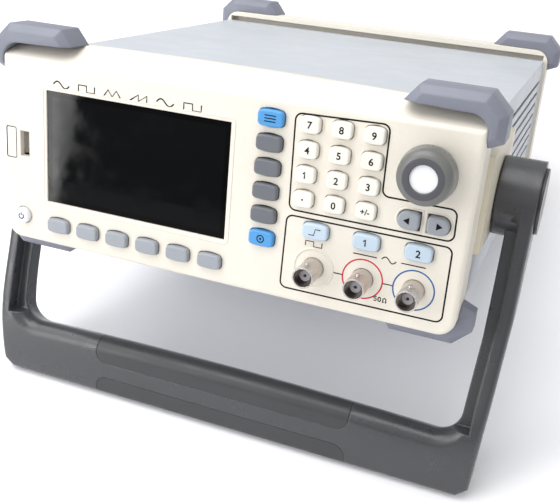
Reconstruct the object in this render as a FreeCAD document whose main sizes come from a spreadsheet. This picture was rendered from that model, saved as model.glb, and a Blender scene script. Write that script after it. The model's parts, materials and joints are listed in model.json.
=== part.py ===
import FreeCAD, Part
import math
import os
import Sketcher
from FreeCAD import Placement, Rotation, Vector

# Bench function generator standing on its carrying handle.
# Every piece is drawn in the level case frame: x to the right, y to the back, z up, with the origin
# at the middle of the front face's bottom edge. Each piece is then placed with the same tilt, so
# that the finished instrument stands on a level floor at z = 0. All sizes are in millimetres.

SIZES = {
    # case
    "face_half": 114.5, "face_high": 96.6, "face_rise": 2.0, "bezel_deep": 20.0, "corner_round": 8.0,
    "edge_round": 2.5, "wall": 3.0, "brow_low": 90.5, "brow_deep": 17.0, "cavity_top": 88.6,
    "cover_half": 112.4, "cover_low": 5.0, "cover_high": 89.4, "cover_back": 256.0, "sheet": 1.2,
    "slot_first": 34.0, "slot_pitch": 7.0, "slot_tall": 2.6, "slot_front": 100.0, "slot_back": 246.0,
    "rear_top": 95.5, "rear_back": 275.0, "rear_wall_in": 262.0, "rear_wall_out": 265.0,
    "rear_rim": 6.0, "tab_half": 6.0, "tab_in": 96.0,
    # corner guards
    "guard_reach": 78.0, "guard_slope": 6.5, "guard_top": 8.6, "guard_side": 6.5, "guard_cut": 8.0,
    "guard_leg": 83.5, "guard_heel": 2.5, "guard_front": 0.6, "guard_deep": 21.0, "guard_low_back": 7.0, "guard_bevel": 3.4,
    "guard_rear_front": 258.0, "guard_rear_deep": 23.0, "guard_below": 7.0, "foot_start": 272.0,
    # display
    "view_left": -90.0, "view_wide": 95.5, "view_low": 22.4, "view_tall": 54.8, "lens_in": 0.6,
    "lens_thick": 2.0, "lcd_margin": 4.5, "lcd_front": 3.1, "lcd_thick": 4.8,
    # keys
    "gap": 0.35, "key_proud": 2.6, "flange_front": 3.4, "flange_thick": 1.0,
    "flange_out": 0.7, "stem_end": 5.4, "stem_wide": 3.0,
    "soft_x": -83.0, "soft_z": 11.1, "soft_pitch": 16.42, "soft_wide": 11.6, "soft_tall": 6.6,
    "side_x": 24.1, "side_z": 82.2, "side_pitch": 10.89, "side_wide": 11.8, "side_tall": 6.8,
    "num_x": 41.9, "num_z": 82.2, "num_pitch_x": 14.05, "num_pitch_z": 10.89, "num_wide": 9.0,
    "num_tall": 6.9, "barrel": 0.5, "key_round": 2.0, "top_round": 0.9,
    "set_x": 48.95, "set_z": 36.0, "set_pitch": 22.98,
    "arrow_x": 88.6, "arrow_z": 49.4, "arrow_pitch": 12.6, "arrow_wide": 9.4, "arrow_tall": 7.8, "arrow_nose": 3.7,
    "power_x": -103.9, "power_z": 12.7, "power_r": 4.0,
    "switch_front": 7.5, "switch_wide": 6.0, "switch_button": 1.7, "button_tall": 0.5,
    "board_front": 10.0, "board_thick": 1.6,
    # knob and encoder
    "knob_x": 95.1, "knob_z": 72.1, "knob_base_r": 9.9, "knob_front_r": 11.6, "knob_back": -1.0,
    "knob_wide_r": 12.2, "knob_wide_at": -9.0, "knob_front": -18.0, "knob_nose": 4.2, "knob_shell": 7.9, "knob_web": -12.0, "boss_r": 5.2,
    "boss_back": -4.2, "cap_r": 5.75, "cap_sink": 1.0, "cap_thick": 1.4, "shaft_r": 3.0,
    "fit": 0.05, "shaft_front": -14.6, "shaft_back": 8.4, "bush_r": 3.5, "bush_front": -3.0,
    "encoder_wide": 12.0, "encoder_front": 3.2, "encoder_back": 9.9, "nest_front": 4.7,
    "nest_back": 9.3, "nest_r": 5.3, "rotor_r": 5.0, "rotor_front": 5.1, "rotor_back": 8.0,
    # sockets
    "bnc_x": 49.2, "bnc_z": 18.55, "bnc_pitch": 22.8, "bnc_r": 4.8, "bnc_in_r": 4.15,
    "bnc_front": 13.9, "bnc_neck_r": 6.2, "bnc_body_back": 9.5, "lug_r": 0.95,
    "lug_out": 0.75, "lug_at": 8.6, "bnc_floor": 4.2, "insulator_r": 2.5, "insulator_front": 10.5,
    "contact_r": 0.75,
    "rear_bnc_x": -88.0, "rear_bnc_z": 26.0, "rear_bnc_pitch": 22.0,
    "usb_x": -102.65, "usb_z": 49.2, "usb_wide": 5.1, "usb_tall": 12.5, "usb_shell": 0.4,
    "usb_back": 17.0, "tongue_thick": 1.9, "tongue_tall": 11.2, "tongue_front": 4.2,
    # fan
    "fan_x": -15.0, "fan_z": 47.5, "fan_wide": 60.0, "fan_deep": 15.0, "fan_bore": 28.5,
    "fan_hub": 12.5, "blade_r": 27.6, "blade_thick": 1.3, "blade_chord": 9.5, "blade_pitch": 38.0,
    "blade_count": 7, "fan_pin": 1.5, "strut": 4.0, "grille_pitch": 7.6, "grille_tall": 4.2,
    "grille_wide": 54.0,
    # mains inlet and rocker
    "inlet_x": 78.0, "inlet_z": 47.5, "inlet_wide": 28.0, "inlet_tall": 46.0, "inlet_deep": 24.0,
    "inlet_flange": 2.5, "inlet_lip": 2.0, "cup_z": 36.0, "cup_wide": 24.4, "cup_tall": 16.6,
    "cup_deep": 17.0, "blade_long": 11.0, "rocker_z": 60.0, "rocker_y": 264.0, "rocker_wide": 18.6,
    "rocker_half": 6.0, "rocker_out": 5.0, "rocker_in": 3.0, "rocker_dip": 1.0, "rocker_tilt": 8.0,
    "rocker_well": 14.4, "rocker_deep": 14.0, "rocker_pin": 1.0,
    # handle
    "pivot_y": 60.0, "pivot_z": 50.5, "plate_out": 117.0, "plate_front": 20.0, "plate_back": 88.0,
    "plate_low": 33.0, "plate_high": 77.0, "spigot_r": 9.0, "spigot_out": 129.0, "drum_in": 117.5,
    "drum_r": 18.5, "arm_in": 124.0, "arm_out": 136.0, "arm_foot_out": 131.6, "arm_foot_in": 122.4,
    "bar_low": -87.4, "bar_top": -52.9, "bar_crown": 2.0, "bar_slope": 28.0, "bar_crest": 15.0,
    "bow_round": 3.0, "crest_round": 7.0,
    "elbow_round": 12.0, "step_deep": 7.5, "step_high": 44.0,
    "outer_wall": 6.4, "arm_lean": 2.4, "lean_z": -44.0, "bow_heel": 5.0, "cap_out": 137.6, "cap_disc_r": 15.5,
    "pad_half": 70.5, "pad_thick": 1.4, "pad_lip_back": 27.0, "pad_lip_low": -60.5, "pad_up_high": -50.0, "pad_up_low": -67.8,
    "pad_down_high": -76.6, "pad_down_low": -86.6, "pad_round": 6.5,
    # boards inside
    "main_left": -100.0, "main_wide": 158.0, "main_front": 40.0, "main_deep": 190.0, "main_z": 14.0,
    "supply_left": 64.0, "supply_wide": 42.0, "supply_front": 70.0, "supply_deep": 150.0,
    "post_r": 3.0,
    # screws
    "screw_head": 3.0, "screw_head_tall": 2.0, "screw_r": 1.5, "screw_long": 13.0, "screw_x": 101.0,
    "screw_low": 13.0, "screw_high": 82.0,
    # stance
    "tilt": 18.0, "floor_y": 143.369,
}

doc = FreeCAD.newDocument("generator")
sheet = doc.addObject("Spreadsheet::Sheet", "dims")
for row, (alias, value) in enumerate(SIZES.items(), 1):
    sheet.set("A{}".format(row), alias)
    sheet.set("B{}".format(row), str(value))
    sheet.setAlias("B{}".format(row), alias)
doc.recompute()


class Size:
    """A length tied to the sheet: its expression and its present value."""

    def __init__(self, text, value):
        self.text = text
        self.value = value

    def joined(self, sign, other, value):
        return Size("({} {} {})".format(self.text, sign, text_of(other)), value)

    def __add__(self, other):
        return self.joined("+", other, self.value + value_of(other))

    def __sub__(self, other):
        return self.joined("-", other, self.value - value_of(other))

    def __mul__(self, other):
        return self.joined("*", other, self.value * value_of(other))

    def __truediv__(self, other):
        return self.joined("/", other, self.value / value_of(other))

    def __neg__(self):
        return Size("(0 - {})".format(self.text), -self.value)


ZERO = Size("0.0", 0.0)


def text_of(item):
    return item.text if isinstance(item, Size) else "{:.6f}".format(item)


def value_of(item):
    return item.value if isinstance(item, Size) else float(item)


def d(alias):
    """The sheet's cell as a Size."""
    return Size("dims.{}".format(alias), float(sheet.get(alias)))


def n(alias):
    """The sheet's cell as a number."""
    return float(sheet.get(alias))


def bind(thing, prop, size):
    """Give a property its size, by expression when the size comes from the sheet."""
    if isinstance(size, Size):
        thing.setExpression(prop, size.text)
    else:
        thing.setExpression(prop, "{:.6f}".format(size))


# ---------------------------------------------------------------- stance of the finished object

TILT = Rotation(Vector(1, 0, 0), -n("tilt"))


def floor_height():
    """Distance from the case origin down to the floor, along the floor's normal."""
    foot = TILT.multVec(Vector(0, n("foot_start"), -n("guard_below")))
    return -foot.z


STANCE = Placement(Vector(0, -n("floor_y"), floor_height()), TILT)
NODES = {}


def keep(thing, name, at=None):
    """Register a finished piece under its node name and stand it on the floor."""
    thing.Label = name
    local = Placement(at, Rotation()) if at else Placement()
    thing.Placement = STANCE.multiply(local)
    NODES[name] = thing


# ---------------------------------------------------------------- small modelling helpers


def block(name, low, high):
    """A box between two corners."""
    thing = doc.addObject("Part::Box", name)
    for prop, a, b in zip(("Length", "Width", "Height"), low, high):
        span = b - a if isinstance(b, Size) else Size(text_of(b), value_of(b)) - a
        bind(thing, prop, span)
    for prop, a in zip(("x", "y", "z"), low):
        bind(thing, "Placement.Base." + prop, a)
    return thing


TURNS = {"x": Rotation(Vector(0, 1, 0), 90), "y": Rotation(Vector(1, 0, 0), -90), "z": Rotation()}


def rod(name, axis, radius, start, end, first, second):
    """A cylinder along an axis, from start to end; first and second place its centre line."""
    thing = doc.addObject("Part::Cylinder", name)
    bind(thing, "Radius", radius)
    length = end - start if isinstance(end, Size) else Size(text_of(end), value_of(end)) - start
    bind(thing, "Height", length)
    thing.Placement = Placement(Vector(), TURNS[axis])
    spots = {"x": (start, first, second), "y": (first, start, second), "z": (first, second, start)}
    for prop, spot in zip(("x", "y", "z"), spots[axis]):
        bind(thing, "Placement.Base." + prop, spot)
    return thing


def fuse(name, things):
    if len(things) == 1:
        return things[0]
    thing = doc.addObject("Part::MultiFuse", name)
    thing.Shapes = things
    return thing


def cut(name, base, tools):
    thing = doc.addObject("Part::Cut", name)
    thing.Base = base
    thing.Tool = fuse(name + "_tools", tools)
    return thing


def group(name, things):
    thing = doc.addObject("Part::Compound", name)
    thing.Links = things
    return thing


def new_body(name):
    return doc.addObject("PartDesign::Body", name + "_body")


def new_sketch(body, name, role, offset=0.0):
    """A sketch on one of the body's own planes, moved along the plane's normal."""
    sketch = body.newObject("Sketcher::SketchObject", name)
    plane = [item for item in body.Origin.OriginFeatures if item.Role == role][0]
    sketch.AttachmentSupport = [(plane, "")]
    sketch.MapMode = "FlatFace"
    bind(sketch, "AttachmentOffset.Base.z", offset)
    return sketch


def arc_middle(start, end, radius):
    """The middle of a convex arc between two corners given anticlockwise."""
    chord = end - start
    half = chord.Length / 2
    sagitta = radius - math.sqrt(max(radius * radius - half * half, 0.0))
    outward = Vector(chord.y, -chord.x, 0).normalize()
    return (start + end) * 0.5 + outward * sagitta


def draw_loop(sketch, corners):
    """Draw a closed loop; a corner is (x, y) or (x, y, radius of the arc to the next corner)."""
    first = sketch.GeometryCount
    spots = [Vector(value_of(c[0]), value_of(c[1]), 0) for c in corners]
    edges = []
    for index, corner in enumerate(corners):
        start = spots[index]
        end = spots[(index + 1) % len(spots)]
        if len(corner) == 3:
            middle = arc_middle(start, end, value_of(corner[2]))
            edges.append(Part.Arc(start, middle, end))
        else:
            edges.append(Part.LineSegment(start, end))
    sketch.addGeometry(edges, False)
    ties = []
    for index in range(len(edges)):
        after = first + (index + 1) % len(edges)
        ties.append(Sketcher.Constraint("Coincident", first + index, 2, after, 1))
    sketch.addConstraint(ties)
    for index, corner in enumerate(corners):
        tie_corner(sketch, first + index, corner)


def tie_corner(sketch, edge, corner):
    """Hold an edge's start at its place, and an arc at its radius."""
    for kind, axis, spot in (("DistanceX", -2, corner[0]), ("DistanceY", -1, corner[1])):
        if abs(value_of(spot)) < 1e-9:
            sketch.addConstraint(Sketcher.Constraint("PointOnObject", edge, 1, axis))
            continue
        tie = sketch.addConstraint(Sketcher.Constraint(kind, -1, 1, edge, 1, value_of(spot)))
        if isinstance(spot, Size):
            sketch.setExpression("Constraints[{}]".format(tie), spot.text)
    if len(corner) == 3:
        tie = sketch.addConstraint(Sketcher.Constraint("Radius", edge, value_of(corner[2])))
        if isinstance(corner[2], Size):
            sketch.setExpression("Constraints[{}]".format(tie), corner[2].text)


def draw_circle(sketch, x, y, radius):
    edge = sketch.addGeometry(
        Part.Circle(Vector(value_of(x), value_of(y), 0), Vector(0, 0, 1), value_of(radius)), False)
    for kind, spot in (("DistanceX", x), ("DistanceY", y)):
        if abs(value_of(spot)) < 1e-9:
            axis = -2 if kind == "DistanceX" else -1
            sketch.addConstraint(Sketcher.Constraint("PointOnObject", edge, 3, axis))
            continue
        tie = sketch.addConstraint(Sketcher.Constraint(kind, -1, 1, edge, 3, value_of(spot)))
        if isinstance(spot, Size):
            sketch.setExpression("Constraints[{}]".format(tie), spot.text)
    tie = sketch.addConstraint(Sketcher.Constraint("Radius", edge, value_of(radius)))
    if isinstance(radius, Size):
        sketch.setExpression("Constraints[{}]".format(tie), radius.text)


def pad(body, sketch, name, length):
    """Grow a front-view sketch backwards by a length."""
    feature = body.newObject("PartDesign::Pad", name)
    feature.Profile = sketch
    bind(feature, "Length", length)
    feature.Reversed = True
    body.Tip = feature
    return feature


def pocket(body, sketch, name, length):
    """Cut a front-view sketch backwards by a length."""
    feature = body.newObject("PartDesign::Pocket", name)
    feature.Profile = sketch
    bind(feature, "Length", length)
    body.Tip = feature
    return feature


def spin(body, sketch, name, axis):
    feature = body.newObject("PartDesign::Revolution", name)
    feature.Profile = sketch
    feature.ReferenceAxis = (sketch, [axis])
    feature.Angle = 360.0
    body.Tip = feature
    return feature


def repeat(body, source, name, axis, length, count, backwards=False):
    """Repeat a cut along one of the sketch's axes, over a total length."""
    feature = body.newObject("PartDesign::LinearPattern", name)
    feature.Originals = [source]
    feature.Direction = (source.Profile[0], [axis])
    bind(feature, "Length", length)
    feature.Occurrences = count
    feature.Reversed = backwards
    body.Tip = feature
    return feature


def round_edges(body, name, radius, wanted):
    """Fillet the tip's edges that the test picks."""
    doc.recompute()
    tip = body.Tip
    names = []
    for number, edge in enumerate(tip.Shape.Edges, 1):
        if wanted(edge):
            names.append("Edge{}".format(number))
    feature = body.newObject("PartDesign::Fillet", name)
    feature.Base = (tip, names)
    bind(feature, "Radius", radius)
    body.Tip = feature
    return feature


def runs_in_depth(edge):
    if len(edge.Vertexes) != 2:
        return False
    along = edge.Vertexes[1].Point - edge.Vertexes[0].Point
    return abs(along.y) > 0.9 * along.Length and along.Length > 0.5


def lies_at_depth(depth):
    def wanted(edge):
        box = edge.BoundBox
        return abs(box.YMin - depth) < 1e-4 and abs(box.YMax - depth) < 1e-4
    return wanted


def soft_rectangle(x, z, wide, tall, corner, barrel, grow=0.0):
    """Corners of a rounded rectangle whose top and bottom edges bulge a little."""
    half = wide / 2 + grow
    high = tall / 2 + grow
    inner = half - corner
    bow = (inner * inner + barrel * barrel) / (barrel * 2)
    return [
        (x - inner, z - high, bow), (x + inner, z - high, corner),
        (x + half, z - high + corner), (x + half, z + high - corner, corner),
        (x + inner, z + high, bow), (x - inner, z + high, corner),
        (x - half, z + high - corner), (x - half, z - high + corner, corner),
    ]


def barrel_outline(wide, tall, barrel):
    """Corners of a key centred on the origin, with bulging top and bottom and square corners."""
    half = wide / 2
    high = tall / 2 - barrel * 0.5
    bow = (half * half + barrel * barrel) / (barrel * 2)
    return [(-half, -high, bow), (half, -high), (half, high, bow), (-half, high)]


def arrow_outline(x, z, side, grow=0.0):
    """Corners of a D-shaped key, its round nose to the left (side -1) or right (side +1)."""
    half = d("arrow_wide") / 2 + grow
    high = d("arrow_tall") / 2 + grow
    nose = d("arrow_nose")
    bow = (nose * nose + high * high) / (nose * 2)
    if side < 0:
        return [(x + half, z - high), (x + half, z + high), (x - half + nose, z + high, bow),
                (x - half + nose, z - high)]
    return [(x - half, z + high), (x - half, z - high), (x + half - nose, z - high, bow),
            (x + half - nose, z + high)]


# ---------------------------------------------------------------- keys


def key_places():
    """Every key's name, centre and outline kind."""
    places = []
    for index in range(6):
        x = d("soft_x") + d("soft_pitch") * index
        places.append(("soft_key_{}".format(index + 1), x, d("soft_z"), "soft"))
    side_names = ("menu_key", "side_key_1", "side_key_2", "side_key_3", "side_key_4", "utility_key")
    for index, name in enumerate(side_names):
        places.append((name, d("side_x"), d("side_z") - d("side_pitch") * index, "side"))
    rows = (("key_7", "key_8", "key_9"), ("key_4", "key_5", "key_6"), ("key_1", "key_2", "key_3"),
            ("key_point", "key_0", "key_sign"))
    for line, names in enumerate(rows):
        for column, name in enumerate(names):
            x = d("num_x") + d("num_pitch_x") * column
            z = d("num_z") - d("num_pitch_z") * line
            places.append((name, x, z, "number"))
    for index, name in enumerate(("trigger_key", "channel_1_key", "channel_2_key")):
        places.append((name, d("set_x") + d("set_pitch") * index, d("set_z"), "side"))
    places.append(("left_key", d("arrow_x"), d("arrow_z"), "left"))
    places.append(("right_key", d("arrow_x") + d("arrow_pitch"), d("arrow_z"), "right"))
    places.append(("power_key", d("power_x"), d("power_z"), "power"))
    return places


KEY_SIZES = {
    "soft": ("soft_wide", "soft_tall"), "side": ("side_wide", "side_tall"),
    "number": ("num_wide", "num_tall"),
}


def draw_key(sketch, x, z, kind, grow=0.0):
    """Draw one key's outline, grown by a clearance when it is the hole."""
    if kind == "power":
        draw_circle(sketch, x, z, d("power_r") + grow)
    elif kind in ("left", "right"):
        draw_loop(sketch, arrow_outline(x, z, -1 if kind == "left" else 1, grow))
    else:
        wide, tall = KEY_SIZES[kind]
        loop = soft_rectangle(x, z, d(wide), d(tall), d("key_round") + grow, d("barrel"), grow)
        draw_loop(sketch, loop)


def make_key(name, x, z, kind):
    """A key cap: its crowned head, the flange behind the panel and the stem to its switch."""
    body = new_body(name)
    head = new_sketch(body, name + "_head", "XZ_Plane", d("key_proud"))
    if kind in KEY_SIZES:
        wide, tall = KEY_SIZES[kind]
        draw_loop(head, barrel_outline(d(wide), d(tall), d("barrel")))
    else:
        draw_key(head, ZERO, ZERO, kind)
    pad(body, head, name + "_cap", d("key_proud") + d("flange_front") + d("flange_thick"))
    if kind != "power":
        round_edges(body, name + "_sides", d("key_round"), runs_in_depth)
    round_edges(body, name + "_crown", d("top_round"), lies_at_depth(-n("key_proud")))
    skirt = new_sketch(body, name + "_skirt", "XZ_Plane", -d("flange_front"))
    draw_key(skirt, ZERO, ZERO, kind, d("flange_out") + d("gap"))
    pad(body, skirt, name + "_flange", d("flange_thick"))
    stem = new_sketch(body, name + "_stem", "XZ_Plane", -d("flange_front"))
    half = d("stem_wide") / 2
    draw_loop(stem, [(-half, -half), (half, -half), (half, half), (-half, half)])
    pad(body, stem, name + "_foot", d("stem_end") - d("flange_front"))
    keep(body, name, Vector(value_of(x), 0, value_of(z)))


def make_keys():
    for name, x, z, kind in key_places():
        make_key(name, x, z, kind)


def make_switches():
    """One tact switch on the board behind each key."""
    switches = []
    for name, x, z, kind in key_places():
        half = d("switch_wide") / 2
        base = block(name + "_tact", (x - half, d("switch_front"), z - half),
                     (x + half, d("board_front"), z + half))
        button = rod(name + "_push", "y", d("switch_button"), d("switch_front") - d("button_tall"),
                     d("switch_front"), x, z)
        switches.append(fuse(name + "_switch", [base, button]))
    keep(group("switches", switches), "key_switches")


# ---------------------------------------------------------------- case


def face_corners(top, rise):
    """Front-view outline of a bezel with a slightly arched top."""
    half = d("face_half")
    bow = (half * half + rise * rise) / (rise * 2)
    return [(-half, 0.0), (half, 0.0), (half, top, bow), (-half, top)]


def bezel_outer(body, front, back, top, rise):
    """The solid block of a bezel with rounded corners."""
    outline = new_sketch(body, body.Name + "_outline", "XZ_Plane", -front)
    draw_loop(outline, face_corners(top, rise))
    pad(body, outline, body.Name + "_block", back - front)
    round_edges(body, body.Name + "_corners", d("corner_round"), runs_in_depth)


def hollow(body, name, at, deep, half, low, high):
    """Cut a rectangular room backwards from a depth."""
    sketch = new_sketch(body, name + "_plan", "XZ_Plane", -at)
    draw_loop(sketch, [(-half, low), (half, low), (half, high), (-half, high)])
    return pocket(body, sketch, name, deep)


def make_front_bezel():
    """The moulded front frame with its sloping brow and all the panel's openings."""
    body = new_body("front_bezel")
    bezel_outer(body, ZERO, d("bezel_deep"), d("face_high"), d("face_rise"))
    brow = new_sketch(body, "brow_plan", "YZ_Plane", -d("face_half") - 5)
    top = d("face_high") + 12
    draw_loop(brow, [(-5.0, d("brow_low")), (0.0, d("brow_low")), (d("brow_deep"), d("face_high") + 1.6),
                     (d("brow_deep"), top), (-5.0, top)])
    slope = pocket(body, brow, "brow", d("face_half") * 2 + 10)
    slope.Reversed = True
    round_edges(body, "front_edge", d("edge_round"), lies_at_depth(0.0))
    hollow(body, "room", d("wall"), d("bezel_deep") - d("wall"), d("face_half") - d("wall"),
           d("wall"), d("cavity_top"))
    window = new_sketch(body, "window_plan", "XZ_Plane")
    right = d("view_left") + d("view_wide")
    high = d("view_low") + d("view_tall")
    draw_loop(window, [(d("view_left"), d("view_low")), (right, d("view_low")), (right, high),
                       (d("view_left"), high)])
    pocket(body, window, "window", d("wall"))
    cut_key_holes(body)
    cut_socket_holes(body)
    keep(body, "front_bezel")


def cut_key_holes(body):
    """Openings for the keys, drawn once for each row and repeated."""
    gap = d("gap")
    deep = d("wall") + 1
    soft = new_sketch(body, "soft_plan", "XZ_Plane", 1.0)
    draw_key(soft, d("soft_x"), d("soft_z"), "soft", gap)
    hole = pocket(body, soft, "soft_hole", deep)
    repeat(body, hole, "soft_holes", "H_Axis", d("soft_pitch") * 5, 6)
    side = new_sketch(body, "side_plan", "XZ_Plane", 1.0)
    draw_key(side, d("side_x"), d("side_z"), "side", gap)
    hole = pocket(body, side, "side_hole", deep)
    repeat(body, hole, "side_holes", "V_Axis", d("side_pitch") * 5, 6, True)
    number = new_sketch(body, "number_plan", "XZ_Plane", 1.0)
    for column in range(3):
        draw_key(number, d("num_x") + d("num_pitch_x") * column, d("num_z"), "number", gap)
    hole = pocket(body, number, "number_hole", deep)
    repeat(body, hole, "number_holes", "V_Axis", d("num_pitch_z") * 3, 4, True)
    setting = new_sketch(body, "setting_plan", "XZ_Plane", 1.0)
    draw_key(setting, d("set_x"), d("set_z"), "side", gap)
    hole = pocket(body, setting, "setting_hole", deep)
    repeat(body, hole, "setting_holes", "H_Axis", d("set_pitch") * 2, 3)
    others = new_sketch(body, "other_plan", "XZ_Plane", 1.0)
    draw_key(others, d("arrow_x"), d("arrow_z"), "left", gap)
    draw_key(others, d("arrow_x") + d("arrow_pitch"), d("arrow_z"), "right", gap)
    draw_key(others, d("power_x"), d("power_z"), "power", gap)
    pocket(body, others, "other_holes", deep)


def cut_socket_holes(body):
    """Openings for the BNC sockets, the USB socket and the knob's bushing."""
    sockets = new_sketch(body, "socket_plan", "XZ_Plane", 1.0)
    draw_circle(sockets, d("bnc_x"), d("bnc_z"), d("bnc_r") + 0.1)
    hole = pocket(body, sockets, "socket_hole", d("wall") + 1)
    repeat(body, hole, "socket_holes", "H_Axis", d("bnc_pitch") * 2, 3)
    others = new_sketch(body, "port_plan", "XZ_Plane", 1.0)
    draw_circle(others, d("knob_x"), d("knob_z"), d("bush_r") + 0.1)
    half = d("usb_wide") / 2
    high = d("usb_tall") / 2
    x = d("usb_x")
    z = d("usb_z")
    draw_loop(others, [(x - half, z - high), (x + half, z - high), (x + half, z + high),
                       (x - half, z + high)])
    pocket(body, others, "port_holes", d("wall") + 1)


def make_rear_bezel():
    """The moulded rear frame and panel with its grille and openings."""
    body = new_body("rear_bezel")
    bezel_outer(body, d("cover_back"), d("rear_back"), d("rear_top"), d("face_rise") * 0.25)
    round_edges(body, "rear_edge", d("edge_round"), lies_at_depth(n("rear_back")))
    hollow(body, "rear_room", d("cover_back"), d("rear_wall_in") - d("cover_back"),
           d("face_half") - d("wall"), d("wall"), d("rear_top") - d("wall"))
    hollow(body, "rear_well", d("rear_wall_out"), d("rear_back") - d("rear_wall_out"),
           d("face_half") - d("rear_rim"), d("rear_rim"), d("rear_top") - d("rear_rim"))
    grille = new_sketch(body, "grille_plan", "XZ_Plane", -d("rear_wall_in"))
    half = d("grille_wide") / 2
    low = d("fan_z") - d("grille_pitch") * 3 - d("grille_tall") / 2
    draw_loop(grille, [(d("fan_x") - half, low), (d("fan_x") + half, low),
                       (d("fan_x") + half, low + d("grille_tall")),
                       (d("fan_x") - half, low + d("grille_tall"))])
    slot = pocket(body, grille, "grille_slot", d("wall"))
    repeat(body, slot, "grille", "V_Axis", d("grille_pitch") * 6, 7)
    jacks = new_sketch(body, "jack_plan", "XZ_Plane", -d("rear_wall_in"))
    draw_circle(jacks, d("rear_bnc_x"), d("rear_bnc_z"), d("bnc_r") + 0.1)
    hole = pocket(body, jacks, "jack_hole", d("wall"))
    repeat(body, hole, "jack_holes", "V_Axis", d("rear_bnc_pitch") * 2, 3)
    mains = new_sketch(body, "mains_plan", "XZ_Plane", -d("rear_wall_in"))
    half = d("inlet_wide") / 2 + 0.1
    high = d("inlet_tall") / 2 + 0.1
    x = d("inlet_x")
    z = d("inlet_z")
    draw_loop(mains, [(x - half, z - high), (x + half, z - high), (x + half, z + high),
                      (x - half, z + high)])
    for side in (-1, 1):
        for height in ("screw_low", "screw_high"):
            draw_circle(mains, d("screw_x") * side, d(height), d("screw_r") + 0.2)
    pocket(body, mains, "mains_hole", d("wall"))
    keep(body, "rear_bezel")


def make_covers():
    """The folded steel top cover with its side vents, and the bottom tray with board posts."""
    half = d("cover_half")
    low = d("cover_low")
    high = d("cover_high")
    front = d("bezel_deep")
    back = d("cover_back")
    sheet_in = d("sheet")
    skin = block("cover_skin", (-half, front, low), (half, back, high))
    room = block("cover_room", (-half + sheet_in, front - 1, low - 1),
                 (half - sheet_in, back + 1, high - sheet_in))
    vents = []
    for index in range(7):
        z = d("slot_first") + d("slot_pitch") * index
        vents.append(block("vent_{}".format(index + 1), (-half - 1, d("slot_front"), z),
                           (half + 1, d("slot_back"), z + d("slot_tall"))))
    shell = cut("cover_shell", skin, [room] + vents)
    tabs = []
    for side in (-1, 1):
        for height in ("screw_low", "screw_high"):
            near = d("tab_in") if side > 0 else -half + sheet_in
            far = half - sheet_in if side > 0 else -d("tab_in")
            plate = block("tab_plate", (near, back - 1.5, d(height) - d("tab_half")),
                          (far, back, d(height) + d("tab_half")))
            hole = rod("tab_hole", "y", d("screw_r") + 0.1, back - 2.5, back + 1,
                       d("screw_x") * side, d(height))
            tabs.append(cut("tab", plate, [hole]))
    keep(fuse("cover_top", [shell] + tabs), "top_cover")
    plate = block("tray_plate", (-half + sheet_in, front, low), (half - sheet_in, back, low + sheet_in))
    posts = []
    for x in (d("main_left") + 6, d("main_left") + d("main_wide") - 6):
        for y in (d("main_front") + 6, d("main_front") + d("main_deep") - 6):
            posts.append(rod("post", "z", d("post_r"), low + sheet_in, d("main_z"), x, y))
    for x in (d("supply_left") + 6, d("supply_left") + d("supply_wide") - 6):
        for y in (d("supply_front") + 6, d("supply_front") + d("supply_deep") - 6):
            posts.append(rod("post", "z", d("post_r"), low + sheet_in, d("main_z"), x, y))
    keep(fuse("tray", [plate] + posts), "bottom_cover")


# ---------------------------------------------------------------- corner guards


def guard_outline(upper, top):
    """Front-view outline of one right-hand guard, wrapped round a corner of the bezel."""
    half = n("face_half")
    out = half + n("guard_side")
    reach = n("guard_reach")
    slope = n("guard_slope")
    corner = n("guard_cut")
    leg = n("guard_leg")
    heel = n("guard_heel")
    crown = top + n("guard_top")
    shape = [(reach, top - 6), (reach, top + 0.6), (reach + slope, crown), (out - corner, crown),
             (out, crown - corner), (out, leg + heel), (half + 0.8, leg), (half - 6, leg)]
    if upper:
        return shape
    middle = n("rear_top") / 2
    ratio = (middle + n("guard_below")) / (crown - middle)
    flipped = []
    for x, z in shape:
        if z > top + 0.3:
            flipped.append((x, middle - (z - middle) * ratio if z > leg else 2 * middle - z))
        else:
            flipped.append((x, 2 * middle - z))
    return flipped


def guard_block(front, deep, upper, side, top, foot):
    """One guard before the case is cut out of it: a faceted rubber corner."""
    loop = [Vector(side * x, front, z) for x, z in guard_outline(upper, top)]
    face = Part.Face(Part.makePolygon(loop + loop[:1]))
    solid = face.extrude(Vector(0, deep, 0))
    bevel = n("guard_bevel")
    picked = []
    for edge in solid.Edges:
        box = edge.BoundBox
        flat = abs(box.YMax - box.YMin) < 1e-6
        centre = edge.CenterOfMass
        outside = abs(centre.x) > n("face_half") + 1 or centre.z > top + 1 or centre.z < -1
        if flat and outside:
            picked.append(edge)
    solid = solid.makeChamfer(bevel, picked)
    if foot:
        solid = solid.cut(below_floor())
    return solid


def below_floor():
    """Everything under the floor, as a block in the case frame."""
    slab = Part.makeBox(600, 900, 200, Vector(-300, -300, -200))
    slab.Placement = STANCE.inverse().multiply(slab.Placement)
    return slab


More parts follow.
